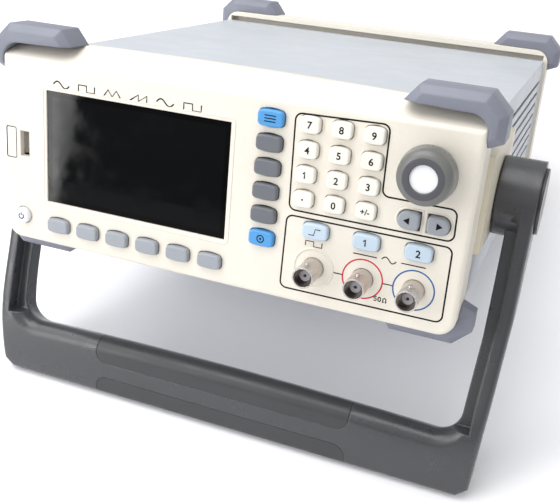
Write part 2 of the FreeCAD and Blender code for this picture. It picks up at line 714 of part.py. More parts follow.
def make_guards():
    """Four rubber corners at the front and four at the back, cut to hug the bezels."""
    front_case = bezel_copy(0.0, n("bezel_deep"), n("face_high"), n("face_rise"))
    rear_case = bezel_copy(n("cover_back"), n("rear_back"), n("rear_top"), n("face_rise") * 0.25)
    sleeve = Part.makeBox(2 * n("cover_half"), n("cover_back"), n("cover_high") - n("cover_low"),
                          Vector(-n("cover_half"), n("bezel_deep"), n("cover_low")))
    sets = (("front_corner_guards", n("guard_front"), n("guard_deep"), front_case),
            ("rear_corner_guards", n("guard_rear_front"), n("guard_rear_deep"), rear_case))
    for name, front, deep, case in sets:
        solids = []
        top = n("face_high") if case is front_case else n("rear_top")
        for upper in (True, False):
            for side in (-1, 1):
                foot = case is rear_case and not upper
                inset = n("guard_low_back") if case is front_case and not upper else 0.0
                solid = guard_block(front + inset, deep - inset, upper, side, top, foot)
                solids.append(solid.cut(case).cut(sleeve))
        thing = doc.addObject("Part::Feature", name)
        thing.Shape = Part.makeCompound(solids)
        keep(thing, name)


def bezel_copy(front, back, top, rise):
    """The outside of a bezel as a plain solid, to cut other pieces to it."""
    half = n("face_half")
    lower_left = Vector(-half, front, 0)
    lower_right = Vector(half, front, 0)
    upper_right = Vector(half, front, top)
    upper_left = Vector(-half, front, top)
    crown = Part.Arc(upper_right, Vector(0, front, top + rise), upper_left).toShape()
    sides = [Part.makeLine(lower_left, lower_right), Part.makeLine(lower_right, upper_right), crown,
             Part.makeLine(upper_left, lower_left)]
    solid = Part.Face(Part.Wire(sides)).extrude(Vector(0, back - front, 0))
    picked = [edge for edge in solid.Edges if runs_in_depth(edge)]
    return solid.makeFillet(n("corner_round"), picked)


# ---------------------------------------------------------------- display and boards


def make_display():
    """The clear window in the bezel and the panel behind it."""
    right = d("view_left") + d("view_wide")
    high = d("view_low") + d("view_tall")
    slack = 0.1
    lens = block("lens", (d("view_left") + slack, d("lens_in"), d("view_low") + slack),
                 (right - slack, d("lens_in") + d("lens_thick"), high - slack))
    keep(lens_placed(lens, "lens_piece"), "display_window")
    edge = d("lcd_margin")
    panel = block("panel", (d("view_left") - edge, d("lcd_front"), d("view_low") - 1.5),
                  (right + edge, d("lcd_front") + d("lcd_thick"), high + edge))
    keep(lens_placed(panel, "panel_piece"), "lcd_module")


def lens_placed(thing, name):
    """Wrap a primitive, so that its own place stays bound and the piece gets the tilt."""
    return group(name, [thing])


def make_boards():
    """The key board, the main board and the power supply."""
    plate = block("key_plate", (-d("face_half") + 6, d("board_front"), 6.0),
                  (d("face_half") - 6, d("board_front") + d("board_thick"), d("cavity_top") - 1))
    notch = block("usb_notch", (d("usb_x") - 4.5, d("board_front") - 1, d("usb_z") - 8),
                  (d("usb_x") + 4.5, d("board_front") + 4, d("usb_z") + 8))
    jacks = []
    for index in range(3):
        jacks.append(rod("jack_notch", "y", d("bnc_neck_r") + 0.5, d("board_front") - 1,
                         d("board_front") + 4, d("bnc_x") + d("bnc_pitch") * index, d("bnc_z")))
    keep(cut("key_board", plate, [notch] + jacks), "front_board")
    z = d("main_z")
    thick = d("board_thick")
    main = block("main_plate", (d("main_left"), d("main_front"), z),
                 (d("main_left") + d("main_wide"), d("main_front") + d("main_deep"), z + thick))
    sink = block("heat_sink", (d("main_left") + 30, d("main_front") + 60, z + thick),
                 (d("main_left") + 70, d("main_front") + 110, z + thick + 12))
    chip = block("processor", (d("main_left") + 95, d("main_front") + 40, z + thick),
                 (d("main_left") + 119, d("main_front") + 64, z + thick + 2))
    keep(fuse("main", [main, sink, chip]), "main_board")
    left = d("supply_left")
    front = d("supply_front")
    plate = block("supply_plate", (left, front, z),
                  (left + d("supply_wide"), front + d("supply_deep"), z + thick))
    core = block("transformer", (left + 6, front + 50, z + thick), (left + 34, front + 80, z + 26))
    can = rod("capacitor", "z", 9.0, z + thick, z + 30, left + 20, front + 105)
    keep(fuse("supply", [plate, core, can]), "power_board")


# ---------------------------------------------------------------- knob and encoder


def turned(name, profile, x, z, axis="V_Axis"):
    """A piece turned about a line in depth, from corners given as radius and depth."""
    body = new_body(name)
    sketch = new_sketch(body, name + "_profile", "XY_Plane")
    draw_loop(sketch, profile)
    spin(body, sketch, name + "_turn", axis)
    keep(body, name, Vector(value_of(x), 0, value_of(z)))
    return body


def make_knob():
    """The rotary knob: skirted cap, its white disc, the spindle, and the encoder that carries it."""
    x = d("knob_x")
    z = d("knob_z")
    front = d("knob_front")
    cap = d("cap_r")
    floor = front + d("cap_sink") + d("cap_thick")
    web = d("knob_web")
    boss = d("boss_back")
    bore = d("shaft_r") + 0.02
    body = turned("knob", [
        (cap + 0.1, front), (d("knob_front_r") - d("knob_nose"), front, d("knob_nose")),
        (d("knob_front_r"), front + d("knob_nose")), (d("knob_wide_r"), d("knob_wide_at")),
        (d("knob_base_r"), d("knob_back")),
        (d("knob_shell"), d("knob_back")), (d("knob_shell"), web), (d("boss_r"), web),
        (d("boss_r"), boss), (bore, boss), (bore, d("shaft_front") - 0.1), (0.0, d("shaft_front") - 0.1),
        (0.0, floor), (cap + 0.1, floor)], x, z)
    disc_front = front + d("cap_sink")
    turned("knob_cap", [(0.0, disc_front), (cap, disc_front), (cap, floor), (0.0, floor)], x, z)
    turned("knob_shaft", [(0.0, d("shaft_front")), (d("shaft_r"), d("shaft_front")),
                          (d("shaft_r"), d("shaft_back")), (0.0, d("shaft_back"))], x, z)
    ring = d("shaft_r") + d("fit")
    turned("encoder_rotor", [(ring, d("rotor_front")), (d("rotor_r"), d("rotor_front")),
                             (d("rotor_r"), d("rotor_back")), (ring, d("rotor_back"))], x, z)
    half = d("encoder_wide") / 2
    can = block("encoder_can", (x - half, d("encoder_front"), z - half),
                (x + half, d("encoder_back"), z + half))
    bush = rod("bushing", "y", d("bush_r"), d("bush_front"), d("encoder_front") + 1, x, z)
    nest = rod("nest", "y", d("nest_r"), d("nest_front"), d("nest_back"), x, z)
    bore = rod("bush_bore", "y", ring, d("bush_front") - 1, d("nest_front") + 1, x, z)
    keep(cut("encoder_case", fuse("encoder_block", [can, bush]), [nest, bore]), "encoder")
    return body


# ---------------------------------------------------------------- sockets


def bnc_shell(x, z, panel, out, name):
    """A BNC jack's metal shell, its mouth at panel + out * length; out is -1 for the front."""
    length = d("bnc_front")
    mouth = length * out + panel
    tail = panel - d("bnc_body_back") * out
    wall_back = panel - d("wall") * out
    floor = panel + d("bnc_floor") * out
    lug = panel + d("lug_at") * out

    def span(radius, a, b, label):
        low, high = (a, b) if value_of(a) < value_of(b) else (b, a)
        return rod(label, "y", radius, low, high, x, z)

    parts = [span(d("bnc_r"), mouth, wall_back, name + "_shell"),
             span(d("bnc_neck_r"), wall_back, tail, name + "_nut")]
    reach = d("bnc_r") + d("lug_out")
    parts.append(rod(name + "_lugs", "z", d("lug_r"), z - reach, z + reach, x, lug))
    return cut(name, fuse(name + "_solid", parts), [span(d("bnc_in_r"), mouth + out, floor, name + "_mouth"),
                                                    span(d("insulator_r"), floor, tail, name + "_bore")])


def make_bncs():
    """Three jacks on the panel with their insulators, and three at the back."""
    shells = []
    cores = []
    for index in range(3):
        x = d("bnc_x") + d("bnc_pitch") * index
        z = d("bnc_z")
        shells.append(bnc_shell(x, z, ZERO, -1, "jack_{}".format(index + 1)))
        sleeve = rod("sleeve", "y", d("insulator_r"), -d("insulator_front"), d("bnc_body_back"), x, z)
        dimple = rod("dimple", "y", d("contact_r"), -d("insulator_front") - 1,
                     -d("insulator_front") + 5, x, z)
        cores.append(cut("core_{}".format(index + 1), sleeve, [dimple]))
    keep(group("jacks", shells), "bnc_jacks")
    keep(group("cores", cores), "bnc_insulators")
    rear = []
    for index in range(3):
        x = d("rear_bnc_x")
        z = d("rear_bnc_z") + d("rear_bnc_pitch") * index
        shell = bnc_shell(x, z, d("rear_wall_out"), 1, "rear_jack_{}".format(index + 1))
        core = rod("rear_core", "y", d("insulator_r"), d("rear_wall_out") - d("bnc_body_back"),
                   d("rear_wall_out") + d("insulator_front"), x, z)
        rear.append(fuse("rear_jack_full_{}".format(index + 1), [shell, core]))
    keep(group("rear_jacks", rear), "rear_bnc_jacks")


def make_usb():
    """The upright USB socket behind the panel: steel shell and plastic tongue."""
    x = d("usb_x")
    z = d("usb_z")
    half = d("usb_wide") / 2
    high = d("usb_tall") / 2
    skin = d("usb_shell")
    front = d("wall")
    outer = block("usb_outer", (x - half - skin, front, z - high - skin),
                  (x + half + skin, d("usb_back"), z + high + skin))
    inner = block("usb_inner", (x - half, front - 1, z - high), (x + half, d("usb_back") - 1, z + high))
    tongue = block("usb_tongue", (x - half, d("tongue_front"), z - d("tongue_tall") / 2),
                   (x - half + d("tongue_thick"), d("usb_back") - 0.5, z + d("tongue_tall") / 2))
    keep(fuse("usb", [cut("usb_case", outer, [inner]), tongue]), "usb_port")


# ---------------------------------------------------------------- fan, inlet and rocker


def make_fan():
    """The fan's square frame on the rear wall, and its rotor."""
    x = d("fan_x")
    z = d("fan_z")
    half = d("fan_wide") / 2
    back = d("rear_wall_in")
    front = back - d("fan_deep")
    frame = block("fan_block", (x - half, front, z - half), (x + half, back, z + half))
    duct = rod("duct", "y", d("fan_bore"), front - 1, back + 1, x, z)
    mount = rod("motor_mount", "y", d("fan_hub") - 0.5, back - 3, back, x, z)
    wide = d("strut") / 2
    reach = d("fan_bore") + 1
    across = block("strut_across", (x - reach, back - 3, z - wide), (x + reach, back, z + wide))
    upright = block("strut_upright", (x - wide, back - 3, z - reach), (x + wide, back, z + reach))
    pin = rod("motor_pin", "y", d("fan_pin"), front + 2, back - 2, x, z)
    keep(fuse("fan", [cut("fan_frame", frame, [duct]), mount, across, upright, pin]), "cooling_fan")
    hub = rod("rotor_hub", "y", d("fan_hub"), front + 1, back - 3.5, x, z)
    blades = []
    count = int(n("blade_count"))
    for index in range(count):
        blades.append(fan_blade(index * 360.0 / count))
    body = fuse("rotor_block", [hub] + blades)
    bore = rod("rotor_bore", "y", d("fan_pin") + d("fit"), front - 1, back, x, z)
    keep(cut("rotor", body, [bore]), "fan_rotor")


def fan_blade(angle):
    """One flat blade, pitched about its own length and turned round the fan's axis."""
    thing = doc.addObject("Part::Box", "blade")
    bind(thing, "Length", d("blade_r") - d("fan_hub") + 2)
    bind(thing, "Width", d("blade_chord"))
    bind(thing, "Height", d("blade_thick"))
    centre = Vector(n("fan_hub") - 2, -n("blade_chord") / 2, -n("blade_thick") / 2)
    pitch = Placement(Vector(), Rotation(Vector(1, 0, 0), n("blade_pitch")))
    around = Placement(Vector(), Rotation(Vector(0, 1, 0), angle))
    middle = n("rear_wall_in") - n("fan_deep") / 2 - 1.2
    spot = Placement(Vector(n("fan_x"), middle, n("fan_z")), Rotation())
    thing.Placement = spot.multiply(around).multiply(pitch).multiply(Placement(centre, Rotation()))
    return thing


def make_inlet():
    """The mains inlet module with its three blades, and the rocker switch above them."""
    x = d("inlet_x")
    z = d("inlet_z")
    half = d("inlet_wide") / 2
    high = d("inlet_tall") / 2
    wall = d("rear_wall_out")
    face = wall + d("inlet_flange")
    lip = d("inlet_lip")
    body = block("inlet_body", (x - half, face - d("inlet_deep"), z - high), (x + half, face, z + high))
    flange = block("inlet_flange_plate", (x - half - lip, wall, z - high - lip),
                   (x + half + lip, face, z + high + lip))
    cup_z = d("cup_z")
    cup = block("cup", (x - d("cup_wide") / 2, face - d("cup_deep"), cup_z - d("cup_tall") / 2),
                (x + d("cup_wide") / 2, face + 1, cup_z + d("cup_tall") / 2))
    well = block("well", (x - d("rocker_wide") / 2 - 0.4, face - d("rocker_deep"),
                          d("rocker_z") - d("rocker_well") / 2),
                 (x + d("rocker_wide") / 2 + 0.4, face + 1, d("rocker_z") + d("rocker_well") / 2))
    bore = rod("rocker_bore", "x", d("rocker_pin") + d("fit"), x - half + 1, x + half - 1,
               d("rocker_y"), d("rocker_z"))
    shell = cut("inlet_shell", fuse("inlet_block", [body, flange]), [cup, well, bore])
    blades = []
    for dx, dz in ((-7.0, -2.0), (7.0, -2.0), (0.0, 2.0)):
        blades.append(block("blade_pin", (x + dx - 1, face - d("cup_deep") - 1, cup_z + dz - 2),
                            (x + dx + 1, face - d("cup_deep") + d("blade_long"), cup_z + dz + 2)))
    keep(fuse("inlet", [shell] + blades), "mains_inlet")
    make_rocker()


def make_rocker():
    """The rocker: a shallow V seen from the side, held on a cross pin and tipped to one side."""
    body = new_body("mains_switch")
    sketch = new_sketch(body, "rocker_profile", "YZ_Plane", -d("rocker_wide") / 2)
    half = d("rocker_half")
    out = d("rocker_out")
    inner = d("rocker_in")
    draw_loop(sketch, [(-inner, -half + 0.5), (out, -half), (out - d("rocker_dip"), 0.0), (out, half),
                       (-inner, half - 0.5)])
    feature = body.newObject("PartDesign::Pad", "rocker_block")
    feature.Profile = sketch
    bind(feature, "Length", d("rocker_wide"))
    pin = new_sketch(body, "rocker_pin_plan", "YZ_Plane", -d("rocker_wide") / 2 - 1.5)
    draw_circle(pin, 0.0, 0.0, d("rocker_pin"))
    axle = body.newObject("PartDesign::Pad", "rocker_axle")
    axle.Profile = pin
    bind(axle, "Length", d("rocker_wide") + 3)
    body.Tip = axle
    body.Label = "mains_switch"
    tipped = Rotation(Vector(1, 0, 0), n("rocker_tilt"))
    spot = Placement(Vector(n("inlet_x"), n("rocker_y"), n("rocker_z")), tipped)
    body.Placement = STANCE.multiply(spot)
    NODES["mains_switch"] = body


# ---------------------------------------------------------------- handle


def make_pivots():
    """The plates on the case's flanks, each with the spigot the handle turns on."""
    plates = []
    for side in (-1, 1):
        inner = d("cover_half") * side
        outer = d("plate_out") * side
        low, high = (inner, outer) if side > 0 else (outer, inner)
        plate = block("pivot_plate", (low, d("plate_front"), d("plate_low")),
                      (high, d("plate_back"), d("plate_high")))
        tip = d("spigot_out") * side
        start, end = (inner, tip) if side > 0 else (tip, inner)
        spigot = rod("spigot", "x", d("spigot_r"), start, end, d("pivot_y"), d("pivot_z"))
        plates.append(fuse("pivot", [plate, spigot]))
    keep(group("pivots", plates), "pivot_mounts")


FRONT_EDGE = ((50.5, 41.5), (30.0, 37.8), (8.0, 33.0), (-12.0, 27.6), (-26.0, 23.0), (-43.0, 17.7),
              (-56.0, 15.0), (-70.0, 14.2), (-80.0, 14.6), (-87.4, 16.0))
BACK_EDGE = ((-87.4, 34.0), (-72.0, 32.8), (-56.0, 32.8), (-43.0, 34.6), (-26.0, 39.2),
             (-8.0, 45.2), (10.0, 52.4), (26.0, 61.8), (38.0, 71.6), (50.5, 78.5))


def spline(points, x):
    curve = Part.BSplineCurve()
    curve.interpolate([Vector(x, y, z) for z, y in points])
    return curve.toShape()


def arm_side_face(x):
    """Side view of the handle at one x: round head, swept arm, and the bar's own depth."""
    front = spline(FRONT_EDGE, x)
    back = spline(BACK_EDGE, x)
    head_top = Vector(x, n("pivot_y"), n("pivot_z") + n("drum_r"))
    start = Vector(x, *reversed(BACK_EDGE[-1]))
    end = Vector(x, *reversed(FRONT_EDGE[0]))
    head = Part.Arc(start, head_top, end).toShape()
    sole = Part.makeLine(Vector(x, *reversed(FRONT_EDGE[-1])), Vector(x, *reversed(BACK_EDGE[0])))
    return Part.Face(Part.Wire([front, sole, back, head]))


def bow_outline(y):
    """Front view of the handle's outer outline: upright sides that lean in a little to the bar."""
    top = n("pivot_z") + n("drum_r") + 2
    out = n("arm_out")
    foot = n("arm_foot_out")
    low = n("bar_low")
    heel = n("bow_heel")
    right = [Vector(out, y, top), Vector(out, y, 0), Vector(foot + n("arm_lean"), y, n("lean_z")),
             Vector(foot, y, low + heel), Vector(foot - heel, y, low)]
    left = [Vector(-v.x, v.y, v.z) for v in reversed(right)]
    return Part.Face(Part.makePolygon(right + left + right[:1]))


def bow_opening(y):
    """Front view of the space inside the U: leaning sides, round elbows and an arched floor."""
    top = n("pivot_z") + 6 * n("drum_r")
    inner = n("arm_in")
    foot = n("arm_foot_in")
    crown = n("bar_top")
    elbow = n("elbow_round")
    slack = elbow * (1 - math.sqrt(0.5))
    side = [Vector(-inner, y, top), Vector(-inner, y, 0), Vector(-foot, y, crown + elbow)]
    heel = Vector(-foot + elbow, y, crown)
    toe = Vector(-heel.x, y, crown)
    other = [Vector(-v.x, v.y, v.z) for v in reversed(side)]
    edges = [Part.makeLine(a, b) for a, b in zip(side, side[1:])]
    edges.append(Part.Arc(side[-1], Vector(-foot + slack, y, crown + slack), heel).toShape())
    edges.append(Part.Arc(heel, Vector(0, y, crown + n("bar_crown")), toe).toShape())
    edges.append(Part.Arc(toe, Vector(foot - slack, y, crown + slack), other[0]).toShape())
    edges += [Part.makeLine(a, b) for a, b in zip(other, other[1:] + side[:1])]
    return Part.Face(Part.Wire(edges))


def sharp_bow():
    """The handle before its edges are rounded; the bar's top falls away behind its crest."""
    reach = n("arm_out") + 5
    side = arm_side_face(-reach).extrude(Vector(2 * reach, 0, 0))
    front = bow_outline(-20.0).extrude(Vector(0, 140, 0))
    fall = math.tan(math.radians(n("bar_slope")))
    opening = bow_opening(n("bar_crest")).translated(Vector(0, -40, 40 * fall))
    return side.common(front).cut(opening.extrude(Vector(0, 160, -160 * fall)))


def depth_at(profile, z):
    """How far back a side profile stands at one height, along straight lines between its points."""
    points = sorted(profile)
    for (low, start), (high, end) in zip(points, points[1:]):
        if low <= z <= high:
            return start + (end - start) * (z - low) / (high - low)
    return points[-1][1]


def is_crest(edge):
    """True for the front edges along the bar's top and round the elbows."""
    centre = edge.CenterOfMass
    middle = (depth_at(FRONT_EDGE, centre.z) + depth_at(BACK_EDGE, centre.z)) / 2
    inside = abs(centre.x) < n("arm_in") + 0.5 and n("bar_low") + 8 < centre.z < n("lean_z")
    return inside and centre.y < middle and is_long(edge)


def is_rim(edge):
    """True for the edges round the handle's outer side and along the bar's foot."""
    centre = edge.CenterOfMass
    outside = abs(centre.x) > n("arm_foot_out") - n("bow_heel") - 1 or centre.z < n("bar_low") + 1
    return outside and is_long(edge)


def is_long(edge):
    """True for an edge that runs along the handle, not through its depth or across an arm."""
    across = n("arm_out") - n("arm_in")
    span = edge.Vertexes[-1].Point - edge.Vertexes[0].Point
    return abs(span.y) < 0.5 * edge.Length and abs(edge.Length - across) > 0.3


def rounded_bow():
    """The handle's plain shape with its edges rounded, most of all the bar's crest."""
    sharp = sharp_bow()
    bow = sharp.makeFillet(n("bow_round"), [edge for edge in sharp.Edges if is_rim(edge)])
    return bow.makeFillet(n("crest_round"), [edge for edge in bow.Edges if is_crest(edge)])


def make_bow():
    """The U-shaped handle: swept arms with a stepped inner side, joined by the grip bar."""
    bow = rounded_bow()
    bow = bow.cut(below_floor())
    bow = bow.cut(arm_steps())
    drums = []
    for sign in (-1, 1):
        start = Vector(sign * n("drum_in"), n("pivot_y"), n("pivot_z"))
        reach = n("arm_out") - n("outer_wall") + 0.5 - n("drum_in")
        drums.append(Part.makeCylinder(n("drum_r"), reach, start, Vector(sign, 0, 0)))
    bow = bow.fuse(drums)
    for sign in (-1, 1):
        start = Vector(sign * (n("drum_in") - 1), n("pivot_y"), n("pivot_z"))
        bore = Part.makeCylinder(n("spigot_r") + n("fit"), n("spigot_out") - n("drum_in") + 1.4, start,
                                 Vector(sign, 0, 0))
        bow = bow.cut(bore)
    bow = bow.cut(pad_beds())
    bow = bow.removeSplitter()
    thing = doc.addObject("Part::Feature", "bow")
    thing.Shape = bow
    keep(thing, "handle_bow")


def arm_steps():
    """The step down the inner side of each arm's front, which leaves the outer wall standing forward."""
    layer = bow_skin(-5.0, n("step_deep"), n("arm_out") + 5)
    high = n("step_high")
    low = n("bar_top")
    far = n("arm_out") - n("outer_wall")
    far_foot = n("arm_foot_out") + n("arm_lean") - n("outer_wall")
    near = n("arm_foot_in") - n("elbow_round")
    tools = []
    for sign in (-1, 1):
        loop = [Vector(sign * near, -20, high), Vector(sign * near, -20, low),
                Vector(sign * far_foot, -20, low), Vector(sign * far_foot, -20, n("lean_z")),
                Vector(sign * far, -20, 0), Vector(sign * far, -20, high)]
        face = Part.Face(Part.makePolygon(loop + loop[:1]))
        tools.append(face.extrude(Vector(0, 140, 0)).common(layer))
    return Part.makeCompound(tools)


def pad_solids(grow):
    """The two soft strips on the front of the bar; grown a little they cut their own beds."""
    strips = []
    half = n("pad_half") + grow
    edges = ((n("pad_up_low"), n("pad_up_high"), True), (n("pad_down_low"), n("pad_down_high"), False))
    for low, high, rounded_below in edges:
        plate = Part.makeBox(2 * half, 30, high - low + 2 * grow, Vector(-half, 0, low - grow))
        picked = []
        for edge in plate.Edges:
            centre = edge.CenterOfMass
            at_side = abs(abs(centre.x) - half) < 1e-6 and runs_in_depth(edge)
            below = centre.z < (low + high) / 2
            if at_side and below == rounded_below:
                picked.append(edge)
        strips.append(plate.makeFillet(n("pad_round"), picked))
    return strips


def bow_skin(depth_front, depth_back, reach):
    """The layer of the handle's front between two depths under its surface."""
    outer = arm_side_face(-reach)
    layer = outer.translated(Vector(0, depth_front, 0)).extrude(Vector(2 * reach, 0, 0))
    inner = outer.translated(Vector(0, depth_back, 0)).extrude(Vector(2 * reach, 0, 0))
    return layer.cut(inner)


def pad_room(grow):
    """Where the two strips lie: a thin layer of the bar's front, the upper one lipped over its top."""
    layer = bow_skin(-2.0, n("pad_thick") + grow, n("pad_half") + 5)
    front = Part.makeBox(400, 28, 60, Vector(-200, -5, -95))
    upper, lower = pad_solids(grow)
    lip = Part.makeBox(400, n("pad_lip_back"), 20, Vector(-200, 0, n("pad_lip_low") - grow))
    ridge = upper.common(lip)
    return [upper.common(layer).fuse(ridge).common(front), lower.common(layer).common(front)]


def pad_beds():
    """Shallow recesses in the bar's front for the two grip strips."""
    return Part.makeCompound(pad_room(0.1))


def make_pads():
    """The two grip strips, flush with the bar around them."""
    bow = rounded_bow().cut(below_floor())
    thing = doc.addObject("Part::Feature", "pads")
    thing.Shape = Part.makeCompound([room.common(bow).removeSplitter() for room in pad_room(0.0)])
    keep(thing, "grip_pads")


def make_caps():
    """Round plates that close the outer ends of the pivots."""
    discs = []
    for side in (-1, 1):
        inner = d("arm_out") * side
        outer = d("cap_out") * side
        start, end = (inner, outer) if side > 0 else (outer, inner)
        discs.append(rod("pivot_disc", "x", d("cap_disc_r"), start, end, d("pivot_y"), d("pivot_z")))
    keep(group("discs", discs), "pivot_caps")


# ---------------------------------------------------------------- screws


def make_screws():
    """Pan-head screws that hold the rear bezel to the cover's tabs."""
    screws = []
    for side in (-1, 1):
        for height in ("screw_low", "screw_high"):
            x = d("screw_x") * side
            wall = d("rear_wall_out")
            head = rod("screw_head", "y", d("screw_head"), wall, wall + d("screw_head_tall"), x, d(height))
            shank = rod("screw_shank", "y", d("screw_r"), wall - d("screw_long"), wall, x, d(height))
            screws.append(fuse("screw", [head, shank]))
    keep(group("screws", screws), "case_screws")


# ---------------------------------------------------------------- build, check and write


def check_everything():
    """Stop if any object failed, or any shape is missing or broken."""
    for thing in doc.Objects:
        if any(word in ("Invalid", "Error") for word in thing.State):
            raise RuntimeError("{} ({}) failed: {}".format(thing.Name, thing.Label, thing.State))
    for name, thing in NODES.items():
        shape = thing.Shape
        if shape.isNull() or not shape.isValid() or not shape.Solids:
            raise RuntimeError("{} has no sound shape".format(name))


def write_parts():
    os.makedirs("parts", exist_ok=True)
    for name, thing in NODES.items():
        thing.Shape.exportStep("parts/{}.step".format(name))


make_front_bezel()
make_rear_bezel()
make_covers()
make_guards()
make_display()
make_boards()
make_keys()
make_switches()
make_knob()
make_bncs()
make_usb()
make_fan()
make_inlet()
make_pivots()
make_bow()
make_pads()
make_caps()
make_screws()
doc.recompute()
check_everything()
write_parts()
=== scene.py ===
import json
import math
import bpy
from mathutils import Matrix, Vector


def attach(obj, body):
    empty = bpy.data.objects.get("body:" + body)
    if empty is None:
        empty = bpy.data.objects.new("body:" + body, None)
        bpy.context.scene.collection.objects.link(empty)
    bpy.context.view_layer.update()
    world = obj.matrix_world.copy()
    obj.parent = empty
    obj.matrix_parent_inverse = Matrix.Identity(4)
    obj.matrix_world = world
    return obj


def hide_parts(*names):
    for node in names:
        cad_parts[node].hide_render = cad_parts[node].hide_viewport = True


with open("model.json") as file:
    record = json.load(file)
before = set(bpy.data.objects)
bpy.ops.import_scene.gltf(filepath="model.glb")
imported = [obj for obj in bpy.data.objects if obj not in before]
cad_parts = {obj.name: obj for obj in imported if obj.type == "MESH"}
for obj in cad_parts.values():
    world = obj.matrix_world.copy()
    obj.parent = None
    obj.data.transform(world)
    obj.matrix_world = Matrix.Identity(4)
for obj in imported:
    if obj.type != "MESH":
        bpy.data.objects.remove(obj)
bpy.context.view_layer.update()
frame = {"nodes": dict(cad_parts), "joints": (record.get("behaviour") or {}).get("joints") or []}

# ---------------------------------------------------------------- stance and view
# The instrument stands tipped back, with the front of its case held up by the carrying handle.
# New pieces are modelled level, the way the case is drawn, and are then turned to the stance.

MM = 0.001
nodes = frame["nodes"]
fan_axis = next(joint for joint in frame["joints"] if joint["name"] == "fan_spin")["axis"]
lean = math.atan2(-fan_axis[2], fan_axis[1])
TO_LEVEL = Matrix.Rotation(lean, 4, "X")
TO_STANCE = TO_LEVEL.inverted()


def level_box(node, ahead_of=None):
    """Lowest and highest corners of a node turned level, or only of what lies ahead of a depth."""
    corners = [TO_LEVEL @ vertex.co for vertex in nodes[node].data.vertices]
    if ahead_of is not None:
        corners = [corner for corner in corners if corner.y < ahead_of]
    low = Vector([min(corner[axis] for corner in corners) for axis in range(3)])
    high = Vector([max(corner[axis] for corner in corners) for axis in range(3)])
    return low, high


face_low, face_high = level_box("front_bezel")
FACE = face_low.y


def on_face(x, z, proud=0.0):
    """A level point on the front face, from the middle of its bottom edge, in millimetres."""
    return Vector((x * MM, FACE - proud * MM, face_low.z + z * MM))


CAMERA_AT = (0.15361, -0.4173, 0.34948)
CAMERA_TURN = (52.157, 1.802, 21.819)
camera = bpy.data.objects.new("camera", bpy.data.cameras.new("camera"))
bpy.context.scene.collection.objects.link(camera)
camera.location = CAMERA_AT
camera.rotation_euler = [math.radians(angle) for angle in CAMERA_TURN]
camera.data.lens = 55.605
camera.data.sensor_width = 36.0
camera.data.clip_start = 0.01
bpy.context.scene.camera = camera

# ---------------------------------------------------------------- front bezel
# The bezel is one injection moulding in ivory ABS, with a fine spark-eroded grain and eased edges.
# It is hooked and screwed to the steel covers, and carries everything on the front panel.


def srgb(red, green, blue):
    """A colour given as sRGB levels of 0 to 255, turned linear for the shader."""
    channels = []
    for level in (red, green, blue):
        share = level / 255
        channels.append(share / 12.92 if share <= 0.04045 else ((share + 0.055) / 1.055) ** 2.4)
    return (*channels, 1.0)


def make_group(name, inputs, outputs):
    """An empty shader group with named sockets, and its two end nodes."""
    group = bpy.data.node_groups.new(name, "ShaderNodeTree")
    for label, kind, value in inputs:
        socket = group.interface.new_socket(label, in_out="INPUT", socket_type=kind)
        socket.default_value = value
    for label, kind in outputs:
        group.interface.new_socket(label, in_out="OUTPUT", socket_type=kind)
    return group, group.nodes.new("NodeGroupInput"), group.nodes.new("NodeGroupOutput")


def noise_of(tree, scale, detail, vector):
    """A noise texture at a scale given per metre or fed from a socket."""
    noise = tree.nodes.new("ShaderNodeTexNoise")
    noise.inputs["Detail"].default_value = detail
    tree.links.new(vector, noise.inputs["Vector"])
    if isinstance(scale, (int, float)):
        noise.inputs["Scale"].default_value = scale
    else:
        tree.links.new(scale, noise.inputs["Scale"])
    return noise.outputs["Fac"]


def ranged(tree, value, low, high, to_low, to_high):
    """A value mapped from one range to another, and held inside it."""
    node = tree.nodes.new("ShaderNodeMapRange")
    for label, setting in (("From Min", low), ("From Max", high), ("To Min", to_low), ("To Max", to_high)):
        if isinstance(setting, (int, float)):
            node.inputs[label].default_value = setting
        else:
            tree.links.new(setting, node.inputs[label])
    tree.links.new(value, node.inputs["Value"])
    return node.outputs["Result"]


def maths(tree, operation, first, second):
    """One arithmetic step between sockets or numbers."""
    node = tree.nodes.new("ShaderNodeMath")
    node.operation = operation
    for slot, item in enumerate((first, second)):
        if isinstance(item, (int, float)):
            node.inputs[slot].default_value = item
        else:
            tree.links.new(item, node.inputs[slot])
    return node.outputs["Value"]


def mixed(tree, blend, share, first, second):
    """Two colours mixed by a share."""
    node = tree.nodes.new("ShaderNodeMix")
    node.data_type = "RGBA"
    node.blend_type = blend
    for label, item in (("Factor", share), ("A", first), ("B", second)):
        kind = "VALUE" if label == "Factor" else "RGBA"
        socket = next(entry for entry in node.inputs if entry.name == label and entry.type == kind)
        if isinstance(item, (int, float, tuple)):
            socket.default_value = item
        else:
            tree.links.new(item, socket)
    return next(result for result in node.outputs if result.type == "RGBA")


